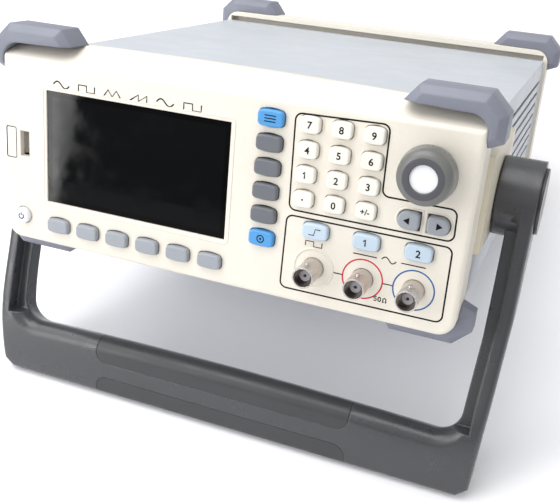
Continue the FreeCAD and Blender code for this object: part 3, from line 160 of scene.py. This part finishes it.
def build_moulding():
    """Group: faint clouding of the colour, uneven gloss, and the grain that the mould leaves."""
    group, entry, exit_ = make_group(
        "moulding",
        [("Colour", "NodeSocketColor", (0.8, 0.8, 0.8, 1.0)), ("Roughness", "NodeSocketFloat", 0.45),
         ("Grain", "NodeSocketFloat", 2500.0), ("Clouding", "NodeSocketFloat", 0.05)],
        [("Colour", "NodeSocketColor"), ("Roughness", "NodeSocketFloat"), ("Height", "NodeSocketFloat")])
    place = group.nodes.new("ShaderNodeTexCoord").outputs["Object"]
    clouds = noise_of(group, 26.0, 4.0, place)
    dark = maths(group, "SUBTRACT", 1.0, entry.outputs["Clouding"])
    shade = ranged(group, clouds, 0.35, 0.65, dark, 1.0)
    specks = ranged(group, noise_of(group, 900.0, 2.0, place), 0.3, 0.7, 0.975, 1.0)
    tone = maths(group, "MULTIPLY", shade, specks)
    grey = group.nodes.new("ShaderNodeCombineColor")
    for label in ("Red", "Green", "Blue"):
        group.links.new(tone, grey.inputs[label])
    colour = mixed(group, "MULTIPLY", 1.0, entry.outputs["Colour"], grey.outputs["Color"])
    smudge = ranged(group, noise_of(group, 70.0, 5.0, place), 0.35, 0.65, -0.05, 0.07)
    grain = noise_of(group, entry.outputs["Grain"], 3.0, place)
    group.links.new(colour, exit_.inputs["Colour"])
    group.links.new(maths(group, "ADD", entry.outputs["Roughness"], smudge), exit_.inputs["Roughness"])
    group.links.new(grain, exit_.inputs["Height"])
    return group


def build_handling():
    """Group: a mask along edges, for wear and for a painted highlight, and the surface normal softened over
    sharp corners.
    """
    group, entry, exit_ = make_group(
        "edge_wear_and_highlight", [("Reach", "NodeSocketFloat", 0.0006)],
        [("Wear And Highlight", "NodeSocketFloat"), ("Soft Normal", "NodeSocketVector")])
    easing = group.nodes.new("ShaderNodeBevel")
    easing.samples = 6
    group.links.new(entry.outputs["Reach"], easing.inputs["Radius"])
    surface = group.nodes.new("ShaderNodeNewGeometry")
    facing = group.nodes.new("ShaderNodeVectorMath")
    facing.operation = "DOT_PRODUCT"
    group.links.new(easing.outputs["Normal"], facing.inputs[0])
    group.links.new(surface.outputs["Normal"], facing.inputs[1])
    edge = ranged(group, facing.outputs["Value"], 0.985, 0.82, 0.0, 1.0)
    place = group.nodes.new("ShaderNodeTexCoord").outputs["Object"]
    patches = ranged(group, noise_of(group, 220.0, 4.0, place), 0.42, 0.62, 0.15, 1.0)
    group.links.new(maths(group, "MULTIPLY", edge, patches), exit_.inputs["Wear And Highlight"])
    group.links.new(easing.outputs["Normal"], exit_.inputs["Soft Normal"])
    return group


moulding = build_moulding()
edge_wear_and_highlight = build_handling()


WEAR_AND_HIGHLIGHT_SHARE = 0.35
BUMP_STRENGTH = 0.6


def finish(name, colour, roughness, grain=2500.0, depth=0.03, clouding=0.04, reach=0.5, wear_and_highlight_tint=None,
           **settings):
    """A moulded or painted finish: its colour, gloss, grain, clouding, and edges tinted partly as wear and
    partly as a painted highlight.
    """
    made = bpy.data.materials.new(name)
    made.use_nodes = True
    tree = made.node_tree
    shader = tree.nodes["Principled BSDF"]
    surface = tree.nodes.new("ShaderNodeGroup")
    surface.node_tree = moulding
    surface.inputs["Colour"].default_value = colour
    surface.inputs["Roughness"].default_value = roughness
    surface.inputs["Grain"].default_value = grain
    surface.inputs["Clouding"].default_value = clouding
    wear_and_highlight_edges = tree.nodes.new("ShaderNodeGroup")
    wear_and_highlight_edges.node_tree = edge_wear_and_highlight
    wear_and_highlight_edges.inputs["Reach"].default_value = reach * MM
    # Edges are mixed towards a paler tone: partly wear, partly a painted highlight standing in for light
    # catching every edge.
    paler = tuple(min(1.0, 0.12 + 1.05 * level) for level in colour[:3])
    wear_and_highlight_tone = wear_and_highlight_tint or (*paler, 1.0)
    share = maths(tree, "MULTIPLY", wear_and_highlight_edges.outputs["Wear And Highlight"], WEAR_AND_HIGHLIGHT_SHARE)
    tone = mixed(tree, "MIX", share, surface.outputs["Colour"], wear_and_highlight_tone)
    bump = tree.nodes.new("ShaderNodeBump")
    bump.inputs["Strength"].default_value = BUMP_STRENGTH
    bump.inputs["Distance"].default_value = depth * MM
    tree.links.new(surface.outputs["Height"], bump.inputs["Height"])
    tree.links.new(wear_and_highlight_edges.outputs["Soft Normal"], bump.inputs["Normal"])
    tree.links.new(tone, shader.inputs["Base Color"])
    tree.links.new(surface.outputs["Roughness"], shader.inputs["Roughness"])
    tree.links.new(bump.outputs["Normal"], shader.inputs["Normal"])
    for label, value in settings.items():
        shader.inputs[label.replace("_", " ")].default_value = value
    return made


def dress(material, *names):
    """Give carried-over nodes their finish."""
    for name in names:
        mesh = nodes[name].data
        mesh.materials.clear()
        mesh.materials.append(material)


ivory = finish("ivory_abs", srgb(226, 220, 208), 0.4, grain=2200.0, depth=0.02, reach=0.8)
dress(ivory, "front_bezel", "rear_bezel")

# ---------------------------------------------------------------- printing on the bezel
# Lines and signs are pad-printed on the bezel in black, red and blue ink, a few hundredths thick.
# One outline holds the number keys and arrows, the other the output keys and sockets.


def only(piece):
    """Make a piece the one that is selected and active."""
    bpy.ops.object.select_all(action="DESELECT")
    piece.select_set(True)
    bpy.context.view_layer.objects.active = piece


def seat(piece, name, body, slot, material, *stands_for):
    """Turn a finished level piece to the stance, and fix it to its body with its finish."""
    only(piece)
    bpy.ops.object.transform_apply(location=True, rotation=True, scale=True)
    piece.name = name
    piece.data.name = name
    piece.data.transform(TO_STANCE)
    if material:
        piece.data.materials.clear()
        piece.data.materials.append(material)
    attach(piece, body)
    if stands_for:
        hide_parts(*stands_for)
    return piece


def rounded(corners, radius, steps=6):
    """The points of a closed outline whose corners are arcs."""
    points = []
    for index, corner in enumerate(corners):
        before = (corners[index - 1] - corner).normalized()
        after = (corners[(index + 1) % len(corners)] - corner).normalized()
        half = before.angle(after) / 2
        centre = corner + (before + after).normalized() * (radius / math.sin(half))
        start = corner + before * (radius / math.tan(half)) - centre
        end = corner + after * (radius / math.tan(half)) - centre
        for step in range(steps + 1):
            points.append(centre + start.slerp(end, step / steps).normalized() * radius)
    return points


def printed_line(points, closed, thick):
    """A bead along level points, so that only its crest stands out of the surface it lies in."""
    curve = bpy.data.curves.new("line", "CURVE")
    curve.dimensions = "3D"
    spline = curve.splines.new("POLY")
    spline.points.add(len(points) - 1)
    for place, point in zip(spline.points, points):
        place.co = (*point, 1.0)
    spline.use_cyclic_u = closed
    curve.bevel_depth = thick * MM
    curve.bevel_resolution = 3
    curve.use_fill_caps = True
    piece = bpy.data.objects.new("line", curve)
    bpy.context.scene.collection.objects.link(piece)
    only(piece)
    bpy.ops.object.convert(target="MESH")
    return bpy.context.object


def ink(name, colour):
    """Printing ink: half matt, and a little uneven where the pad left it thin."""
    return finish(name, colour, 0.6, grain=4000.0, depth=0.004, clouding=0.1, reach=0.05,
                  Specular_IOR_Level=0.15)


black_ink = ink("black_ink", srgb(14, 14, 17))
red_ink = ink("red_ink", srgb(206, 40, 60))
blue_ink = ink("blue_ink", srgb(44, 100, 160))

OUTLINE_CORNER = 3.0
LINE = 0.4
FINE_LINE = 0.3
INK_SUNK = -0.14
ENTRY_BLOCK = ((34.6, 86.0), (75.6, 87.4), (75.9, 57.2), (107.8, 57.2), (108.2, 43.4), (35.4, 43.4))
OUTPUT_BLOCK = ((34.8, 40.8), (108.4, 40.8), (108.7, 6.6), (34.4, 6.3))
for name, block in (("entry_outline", ENTRY_BLOCK), ("output_outline", OUTPUT_BLOCK)):
    corners = [on_face(x, z, INK_SUNK) for x, z in block]
    outline = printed_line(rounded(corners, OUTLINE_CORNER * MM), True, LINE)
    seat(outline, name, "case", "dark_plastic", black_ink)

sockets_low, sockets_high = level_box("bnc_jacks")
SOCKET_Z = (sockets_low.z + sockets_high.z) / 2
SOCKET_ROW = (SOCKET_Z - face_low.z) / MM
SOCKET_X = (sockets_low.x + sockets_high.x) / 2
FLANGE = 12.4
SOCKET_PITCH = (sockets_high.x - sockets_low.x - FLANGE * MM) / 2
RING = 9.0
RING_SUNK = 0.3
rings = (("ring_sync", ivory, 0.75, "ivory_plastic"), ("ring_one", red_ink, 0.46, "dark_plastic"),
         ("ring_two", blue_ink, 0.46, "dark_plastic"))
for index, (name, material, thick, slot) in enumerate(rings):
    bpy.ops.mesh.primitive_torus_add(
        major_radius=RING * MM, minor_radius=thick * MM, major_segments=96, minor_segments=10,
        location=(SOCKET_X + (index - 1) * SOCKET_PITCH, FACE + RING_SUNK * MM, SOCKET_Z),
        rotation=(math.radians(90), 0, 0))
    bpy.ops.object.shade_smooth()
    seat(bpy.context.object, name, "case", slot, material)

WAVE_STEPS = 24


def wave(kind, left, wide, middle, half):
    """Level points of one small trace: sine, square, triangle, ramp or flat."""
    if kind == "sine":
        steps = [step / WAVE_STEPS for step in range(WAVE_STEPS + 1)]
        shares = [(share, math.sin(2 * math.pi * share)) for share in steps]
    else:
        shares = {"square": ((0, -1), (0, 1), (0.5, 1), (0.5, -1), (1, -1), (1, 1)),
                  "triangle": ((0, -1), (0.25, 1), (0.5, -1), (0.75, 1), (1, -1)),
                  "ramp": ((0, -1), (0.5, 1), (0.5, -1), (1, 1), (1, -1)),
                  "flat": ((0, 0), (1, 0))}[kind]
    return [on_face(left + share * wide, middle + half * height, INK_SUNK) for share, height in shares]


TITLE_ROW = 80.7
TITLE_LEFT = -86.0
TITLE_PITCH = 13.6
TITLE_WIDE = 8.6
TITLE_HALF = 1.5
TITLE_LINE = 0.36
for index, kind in enumerate(("sine", "square", "triangle", "ramp", "sine", "square")):
    trace = wave(kind, TITLE_LEFT + TITLE_PITCH * index, TITLE_WIDE, TITLE_ROW, TITLE_HALF)
    name = "title_{}_{}".format(kind, index)
    seat(printed_line(trace, False, TITLE_LINE), name, "case", "dark_plastic", black_ink)
CAPTION_ROW = 29.6
captions = (("sync_trace", wave("square", 44.6, 7.6, CAPTION_ROW, 1.1)),
            ("setup_line_left", wave("flat", 66.6, 10.6, CAPTION_ROW, 0.0)),
            ("setup_trace", wave("sine", 79.4, 6.4, CAPTION_ROW, 1.2)),
            ("setup_line_right", wave("flat", 88.0, 10.6, CAPTION_ROW, 0.0)),
            ("tick_one", wave("flat", 58.6, 4.2, SOCKET_ROW, 0.0)),
            ("tick_two", wave("flat", 81.2, 4.4, SOCKET_ROW, 0.0)))
for name, trace in captions:
    seat(printed_line(trace, False, FINE_LINE), name, "case", "dark_plastic", black_ink)
DATA_BLOCK = ((-113.2, 41.4), (-107.6, 41.4), (-107.6, 56.6), (-113.2, 56.6))
DATA_LINE = 0.26
data_edge = rounded([on_face(x, z, INK_SUNK) for x, z in DATA_BLOCK], 0.8 * MM)
seat(printed_line(data_edge, True, DATA_LINE), "data_outline", "case", "dark_plastic", black_ink)

OHM_ROW = 10.9
ohm = ((0.0, -1.0), (0.55, -1.0), (0.45, -0.8), (0.3, -0.2), (0.35, 0.5), (1.0, 1.0), (1.65, 0.5),
       (1.7, -0.2), (1.55, -0.8), (1.45, -1.0), (2.0, -1.0))
five = ((1.2, 1.0), (0.1, 1.0), (0.0, 0.15), (0.8, 0.25), (1.25, -0.3), (0.8, -1.0), (0.0, -0.8))
nought_turns = [math.radians(30 * step) for step in range(12)]
nought = [(0.6 + 0.6 * math.cos(turn), math.sin(turn)) for turn in nought_turns]
ratings = (("ohm_one", 82.0, ohm, False), ("ohm_five", 78.2, five, False), ("ohm_nought", 80.1, nought, True))
for name, left, shape, closed in ratings:
    trace = [on_face(left + share, OHM_ROW + rise, INK_SUNK) for share, rise in shape]
    seat(printed_line(trace, closed, FINE_LINE), name, "case", "dark_plastic", black_ink)

# ---------------------------------------------------------------- display
# The window is a plate of hardened glass with a black border printed behind it, set in the bezel
# with a raised moulded rim. The panel behind is off, so it shows almost black.
pane_low, pane_high = level_box("display_window")
BORDER = 2.4


def add_block(low, high):
    """A new block between two level corners, selected and active."""
    bpy.ops.object.select_all(action="DESELECT")
    bpy.ops.mesh.primitive_cube_add(size=1.0, location=(low + high) / 2, scale=high - low)
    bpy.ops.object.transform_apply(location=False, rotation=False, scale=True)
    return bpy.context.object


def pick_faces(piece, wanted):
    """In edit mode, select only the faces that answer a test."""
    bpy.ops.mesh.select_mode(type="FACE")
    bpy.ops.mesh.select_all(action="DESELECT")
    bpy.ops.object.mode_set(mode="OBJECT")
    for face in piece.data.polygons:
        face.select = wanted(face)
    bpy.ops.object.mode_set(mode="EDIT")


pane = add_block(pane_low, pane_high)
bpy.ops.object.mode_set(mode="EDIT")
bpy.ops.mesh.select_all(action="SELECT")
bpy.ops.mesh.bevel(offset=0.25 * MM, segments=3, affect="EDGES")
pick_faces(pane, lambda face: face.normal.y < -0.99)
bpy.ops.mesh.inset(thickness=BORDER * MM, depth=0.0)
bpy.ops.object.mode_set(mode="OBJECT")
border = finish("border_ink", srgb(5, 5, 6), 0.06, grain=300.0, depth=0.0, clouding=0.05, reach=0.1,
                Specular_IOR_Level=0.12)
dark_panel = finish("dark_panel", srgb(8, 9, 10), 0.05, grain=300.0, depth=0.0, clouding=0.05, reach=0.1,
                    Specular_IOR_Level=0.14)
pane.data.materials.append(border)
pane.data.materials.append(dark_panel)
wide = (pane_high.x - pane_low.x) / 2 - BORDER * MM
tall = (pane_high.z - pane_low.z) / 2 - BORDER * MM
for face in pane.data.polygons:
    inside = face.normal.y < -0.99 and face.area > 3.9 * wide * tall
    face.material_index = 1 if inside else 0
seat(pane, "display_glass", "case", "display_glass", None, "display_window")
WINDOW_RIM = ((-91.8, 20.6), (7.3, 20.6), (7.3, 79.0), (-91.8, 79.0))
RIM_SUNK = -0.25
RIM_THICK = 0.5
rim_points = rounded([on_face(x, z, RIM_SUNK) for x, z in WINDOW_RIM], 2.2 * MM)
seat(printed_line(rim_points, True, RIM_THICK), "display_rim", "case", "ivory_plastic", ivory)

# ---------------------------------------------------------------- keys and their signs
# Each key is a hard ABS cap with a barrel-shaped crown over a rubber dome. Numbers and signs are
# printed on the caps, so each travels with its own key.
soft_grey = finish("soft_key_abs", srgb(150, 155, 162), 0.38, grain=2600.0, depth=0.015, reach=0.6)
dress(soft_grey, *["soft_key_{}".format(index) for index in range(1, 7)], "left_key", "right_key")
side_grey = finish("side_key_abs", srgb(100, 103, 110), 0.38, grain=2600.0, depth=0.015, reach=0.6)
dress(side_grey, *["side_key_{}".format(index) for index in range(1, 5)])
sky_blue = finish("blue_key_abs", srgb(74, 148, 208), 0.34, grain=2600.0, depth=0.015, reach=0.6)
dress(sky_blue, "menu_key", "utility_key")
pale_blue = finish("pale_key_abs", srgb(186, 203, 217), 0.38, grain=2600.0, depth=0.015, reach=0.6)
dress(pale_blue, "trigger_key", "channel_1_key", "channel_2_key")
cream = finish("cream_key_abs", srgb(232, 229, 219), 0.38, grain=2600.0, depth=0.015, reach=0.6)
dress(cream, *["key_{}".format(index) for index in range(10)], "key_point", "key_sign")
white = finish("white_abs", srgb(232, 234, 238), 0.36, grain=2600.0, depth=0.02, reach=0.4)
dress(white, "power_key")


def crown(key):
    """Middle of a key's crown, level, on its front."""
    low, high = level_box(key, ahead_of=FACE)
    return Vector(((low.x + high.x) / 2, low.y, (low.z + high.z) / 2))


SIZE_PER_HEIGHT = 1.42
FIGURE_THICK = 0.04
FIGURE_BOLDER = 0.09
FIGURE_PROUD = 0.01


def legend(text, key, high, slot):
    """A printed figure on the crown of a key."""
    bpy.ops.object.select_all(action="DESELECT")
    bpy.ops.object.text_add()
    piece = bpy.context.object
    piece.data.body = text
    piece.data.align_x = "CENTER"
    piece.data.size = high * SIZE_PER_HEIGHT * MM
    piece.data.extrude = FIGURE_THICK * MM
    piece.data.offset = FIGURE_BOLDER * MM
    only(piece)
    bpy.ops.object.convert(target="MESH")
    piece = bpy.context.object
    rise = [vertex.co.y for vertex in piece.data.vertices]
    piece.data.transform(Matrix.Translation((0, -(min(rise) + max(rise)) / 2, 0)))
    piece.rotation_euler = (math.radians(90), 0, 0)
    piece.location = crown(key) - Vector((0, FIGURE_PROUD * MM, 0))
    return seat(piece, "figure_" + key, key + "_cap", slot, black_ink)


for index in (0, 2, 3, 4, 5, 6, 7, 8, 9):
    legend(str(index), "key_{}".format(index), 3.0, "key_white")
legend("+/-", "key_sign", 2.5, "key_white")
legend("2", "channel_2_key", 3.2, "key_pale")


SIGN_SUNK = 0.1


def sign(key, name, shares, half_wide, half_high, thick, slot, closed=False):
    """A printed stroke on a key's crown, from points given as shares of its half size."""
    middle = crown(key)
    points = [middle + Vector((x * half_wide * MM, SIGN_SUNK * MM, z * half_high * MM)) for x, z in shares]
    return seat(printed_line(points, closed, thick), name, key + "_cap", slot, black_ink)


flagged_one = ((-1, 0.45), (0, 1), (0, -1))
sign("key_1", "figure_key_1", flagged_one, 0.75, 1.35, 0.34, "key_white")
sign("channel_1_key", "figure_channel_1_key", flagged_one, 0.8, 1.4, 0.36, "key_pale")
for row, height in enumerate((1, 0, -1)):
    sign("menu_key", "menu_bar_{}".format(row), ((-1, height), (1, height)), 2.6, 1.3, 0.26, "key_blue")
circle = [(math.cos(math.radians(15 * step)), math.sin(math.radians(15 * step))) for step in range(24)]
sign("utility_key", "utility_ring", circle, 1.6, 1.6, 0.28, "key_blue", True)
sign("utility_key", "utility_dot", circle, 0.25, 0.25, 0.3, "key_blue", True)
sign("trigger_key", "trigger_edge", ((-1, -1), (-0.1, -1), (0.1, 1), (1, 1)), 2.6, 1.4, 0.24, "key_pale")
sign("key_point", "point_dot", circle, 0.22, 0.22, 0.25, "key_white", True)
gapped = [(math.sin(math.radians(angle)), math.cos(math.radians(angle))) for angle in range(40, 321, 14)]
sign("power_key", "power_ring", gapped, 1.35, 1.35, 0.3, "white_plastic")
sign("power_key", "power_bar", ((0, 0.2), (0, 1.3)), 1.35, 1.35, 0.3, "white_plastic")

for key, way in (("left_key", -1), ("right_key", 1)):
    bpy.ops.object.select_all(action="DESELECT")
    bpy.ops.mesh.primitive_cylinder_add(vertices=3, radius=1.75 * MM, depth=0.16 * MM,
                                        location=crown(key) + Vector((way * 0.3 * MM, 0, 0)))
    arrow = bpy.context.object
    arrow.rotation_euler = (math.radians(90), math.radians(90 * way), 0)
    bpy.ops.object.mode_set(mode="EDIT")
    bpy.ops.mesh.select_all(action="SELECT")
    bpy.ops.mesh.bevel(offset=0.03 * MM, segments=2, affect="EDGES")
    bpy.ops.object.mode_set(mode="OBJECT")
    seat(arrow, "arrow_" + key, key + "_cap", "soft_key_grey", black_ink)

ARROW_ROW = 49.4
HALO_GAP = 0.9
HALO_THICK = 0.6
HALO_SUNK = -0.3
for key, way in (("left_key", -1), ("right_key", 1)):
    low, high = level_box(key, ahead_of=FACE)
    half = (high.z - low.z) / 2 / MM + HALO_GAP
    flat = (low.x if way > 0 else high.x) / MM - HALO_GAP * way
    tip = (high.x if way > 0 else low.x) / MM + HALO_GAP * way
    rim = [(flat, -half)]
    for angle in range(-90, 91, 15):
        turn = math.radians(angle)
        rim.append((tip - way * half * (1 - math.cos(turn)), half * math.sin(turn)))
    rim.append((flat, half))
    halo = [on_face(x, ARROW_ROW + z, HALO_SUNK) for x, z in rim]
    seat(printed_line(halo, True, HALO_THICK), "halo_" + key, "case", "ivory_plastic", ivory)

# ---------------------------------------------------------------- knob
# The knob is a grey moulding with a satin side and a darker, duller ring on its front, pushed on
# the encoder's spindle. A white disc closes its middle.
knob_grey = finish("knob_grey", srgb(104, 105, 102), 0.3, grain=2600.0, depth=0.02, reach=0.8)
knob_dark = finish("knob_front", srgb(74, 74, 80), 0.5, grain=2600.0, depth=0.02, reach=0.4)
RING_OUT = 8.6


def sound_copy(node, ease):
    """A node's own shape as a joined-up mesh, with its sharp edges eased if an easing is given."""
    piece = nodes[node].copy()
    piece.data = nodes[node].data.copy()
    piece.parent = None
    for label in [name for name in piece.keys() if name.startswith("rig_")]:
        del piece[label]
    bpy.context.scene.collection.objects.link(piece)
    only(piece)
    piece.data.transform(TO_LEVEL)
    bpy.ops.object.mode_set(mode="EDIT")
    bpy.ops.mesh.select_all(action="SELECT")
    bpy.ops.mesh.remove_doubles(threshold=0.002 * MM)
    bpy.ops.mesh.customdata_custom_splitnormals_clear()
    bpy.ops.mesh.dissolve_limited(angle_limit=math.radians(0.5))
    bpy.ops.object.mode_set(mode="OBJECT")
    if ease:
        bevel = piece.modifiers.new("ease", "BEVEL")
        bevel.width = ease * MM
        bevel.segments = 3
        bevel.limit_method = "ANGLE"
        bevel.angle_limit = math.radians(18)
        bevel.use_clamp_overlap = True
        bpy.ops.object.modifier_apply(modifier="ease")
    bpy.ops.object.shade_smooth_by_angle(angle=math.radians(32))
    return piece


knob = sound_copy("knob", 0.0)
knob.data.materials.clear()
knob.data.materials.append(knob_grey)
knob.data.materials.append(knob_dark)
knob_low, knob_high = level_box("knob")
knob_x = (knob_low.x + knob_high.x) / 2
knob_z = (knob_low.z + knob_high.z) / 2
for face in knob.data.polygons:
    across = math.hypot(face.center.x - knob_x, face.center.z - knob_z)
    face.material_index = 1 if face.normal.y < -0.5 and across < RING_OUT * MM else 0
seat(knob, "knob_moulding", "knob", "knob_grey", None, "knob")
dress(white, "knob_cap")

# ---------------------------------------------------------------- sockets
# The BNC shells are turned brass with bright nickel plate, held by nuts behind the panel. The USB
# shell is folded from tinned steel.
nickel = finish("nickel_plate", srgb(206, 200, 196), 0.24, grain=900.0, depth=0.004, reach=0.3,
                Metallic=1.0)
dress(nickel, "bnc_jacks", "rear_bnc_jacks", "usb_port")
lining = finish("ptfe_lining", srgb(150, 147, 152), 0.45, grain=1800.0, depth=0.01, reach=0.2)
dress(lining, "bnc_insulators")

# ---------------------------------------------------------------- corner guards
# Eight thick soft mouldings, cut in facets, are pressed over the corners of the two bezels. The
# lower rear ones are also the feet.
guard_grey = finish("guard_moulding", srgb(122, 125, 137), 0.45, grain=1800.0, depth=0.03, reach=1.2)
for node in ("front_corner_guards", "rear_corner_guards"):
    seat(sound_copy(node, 0.45), node + "_eased", "case", "guard_rubber", guard_grey, node)

# ---------------------------------------------------------------- covers and rear bezel
# The covers are folded sheet steel with a baked light grey paint. The rear bezel, finished with the
# front one above, is screwed to them and holds the mains inlet and its switch.
paint = finish("baked_paint", srgb(186, 191, 197), 0.42, grain=1300.0, depth=0.03, clouding=0.05,
               reach=0.6)
dress(paint, "top_cover", "bottom_cover")
black = finish("black_nylon", srgb(30, 31, 34), 0.45, grain=1800.0, depth=0.03, reach=0.5)
dress(black, "mains_inlet", "mains_switch")
steel = finish("zinc_steel", srgb(170, 172, 176), 0.35, grain=700.0, depth=0.01, reach=0.3,
               Metallic=1.0)
dress(steel, "case_screws")

# ---------------------------------------------------------------- carrying handle
# The handle is a stiff grey nylon U that turns on two hubs at the case's sides. Two strips of soft
# rubber lie in beds on the front of its bar.
beige = finish("pivot_abs", srgb(216, 209, 190), 0.42, grain=2000.0, depth=0.02, reach=0.8)
dress(beige, "pivot_mounts")
# The wide edge reach paints a pale highlight along the handle's crests and arm edges, together with wear.
graphite = finish("handle_nylon", srgb(56, 57, 61), 0.3, grain=1500.0, depth=0.16, clouding=0.1, reach=1.2,
                  Specular_IOR_Level=0.7)
seat(sound_copy("handle_bow", 0.0), "handle_bow_eased", "handle", "handle_plastic", graphite, "handle_bow")
dress(graphite, "pivot_caps")
soft_grip = finish("grip_rubber", srgb(56, 57, 60), 0.38, grain=1500.0, depth=0.12, clouding=0.1, reach=0.5)
seam_shade = finish("seam_shade", srgb(16, 16, 17), 0.7, grain=1500.0, depth=0.02,
                    wear_and_highlight_tint=(0.004, 0.004, 0.004, 1.0))
pads = sound_copy("grip_pads", 0.0)
pads.data.materials.clear()
pads.data.materials.append(soft_grip)
pads.data.materials.append(seam_shade)
seam = pads.modifiers.new("seam", "BEVEL")
SEAM_WIDE = 0.35
seam.width = SEAM_WIDE * MM
seam.segments = 2
seam.limit_method = "ANGLE"
seam.angle_limit = math.radians(50)
seam.use_clamp_overlap = True
seam.material = 1
bpy.ops.object.modifier_apply(modifier="seam")
seat(pads, "grip_strips", "handle", "grip_rubber", None, "grip_pads")

# ---------------------------------------------------------------- inner pieces
# Boards, fan, encoder and display panel are screwed to the tray and the front board, and show
# only through the slots.
board = finish("board_lacquer", srgb(28, 92, 52), 0.35, grain=600.0, depth=0.03, reach=0.3)
dress(board, "front_board", "main_board", "power_board")
dress(black, "cooling_fan", "fan_rotor", "encoder_rotor", "lcd_module", "key_switches")
dress(steel, "knob_shaft", "encoder")

# ---------------------------------------------------------------- floor, light and backdrop
# A plain pale floor under soft studio lamps, with a bright surround.
bpy.ops.object.select_all(action="DESELECT")
bpy.ops.mesh.primitive_plane_add(size=6.0, location=(0, 0, 0))
floor = bpy.context.object
floor.name = "floor"
floor_paint = bpy.data.materials.new("floor_paint")
floor_paint.use_nodes = True
floor_paint.node_tree.nodes["Principled BSDF"].inputs["Base Color"].default_value = srgb(246, 246, 249)
floor_paint.node_tree.nodes["Principled BSDF"].inputs["Roughness"].default_value = 0.7
floor.data.materials.append(floor_paint)


def softbox(name, place, aim, size, power):
    """A lamp with a diffuser, turned to a point."""
    lamp = bpy.data.lights.new(name, "AREA")
    lamp.shape = "RECTANGLE"
    lamp.size, lamp.size_y = size
    lamp.energy = power
    holder = bpy.data.objects.new(name, lamp)
    bpy.context.scene.collection.objects.link(holder)
    holder.location = place
    holder.rotation_euler = (Vector(aim) - Vector(place)).to_track_quat("-Z", "Y").to_euler()
    return holder


softbox("top_light", (-0.35, -0.1, 1.2), (0, 0, 0.1), (1.1, 1.1), 12.5)
softbox("front_light", (-0.85, -0.95, 0.75), (-0.05, 0, 0.12), (0.6, 0.6), 4.2)
softbox("strip_light", (-0.82, -1.17, 0.3), (0, 0, 0.12), (0.1, 0.8), 3.2)

world = bpy.data.worlds.new("studio")
bpy.context.scene.world = world
world.use_nodes = True
sky = world.node_tree
backdrop = sky.nodes["Background"]
direction = sky.nodes.new("ShaderNodeTexCoord").outputs["Generated"]
parts = sky.nodes.new("ShaderNodeSeparateXYZ")
sky.links.new(direction, parts.inputs["Vector"])
glow = ranged(sky, parts.outputs["Z"], 0.0, 0.5, 0.3, 0.9)
seen = sky.nodes.new("ShaderNodeLightPath").outputs["Is Camera Ray"]
sky.links.new(maths(sky, "MAXIMUM", glow, seen), backdrop.inputs["Strength"])
backdrop.inputs["Color"].default_value = (1.0, 1.0, 1.0, 1.0)
bpy.context.scene.view_settings.view_transform = "Standard"
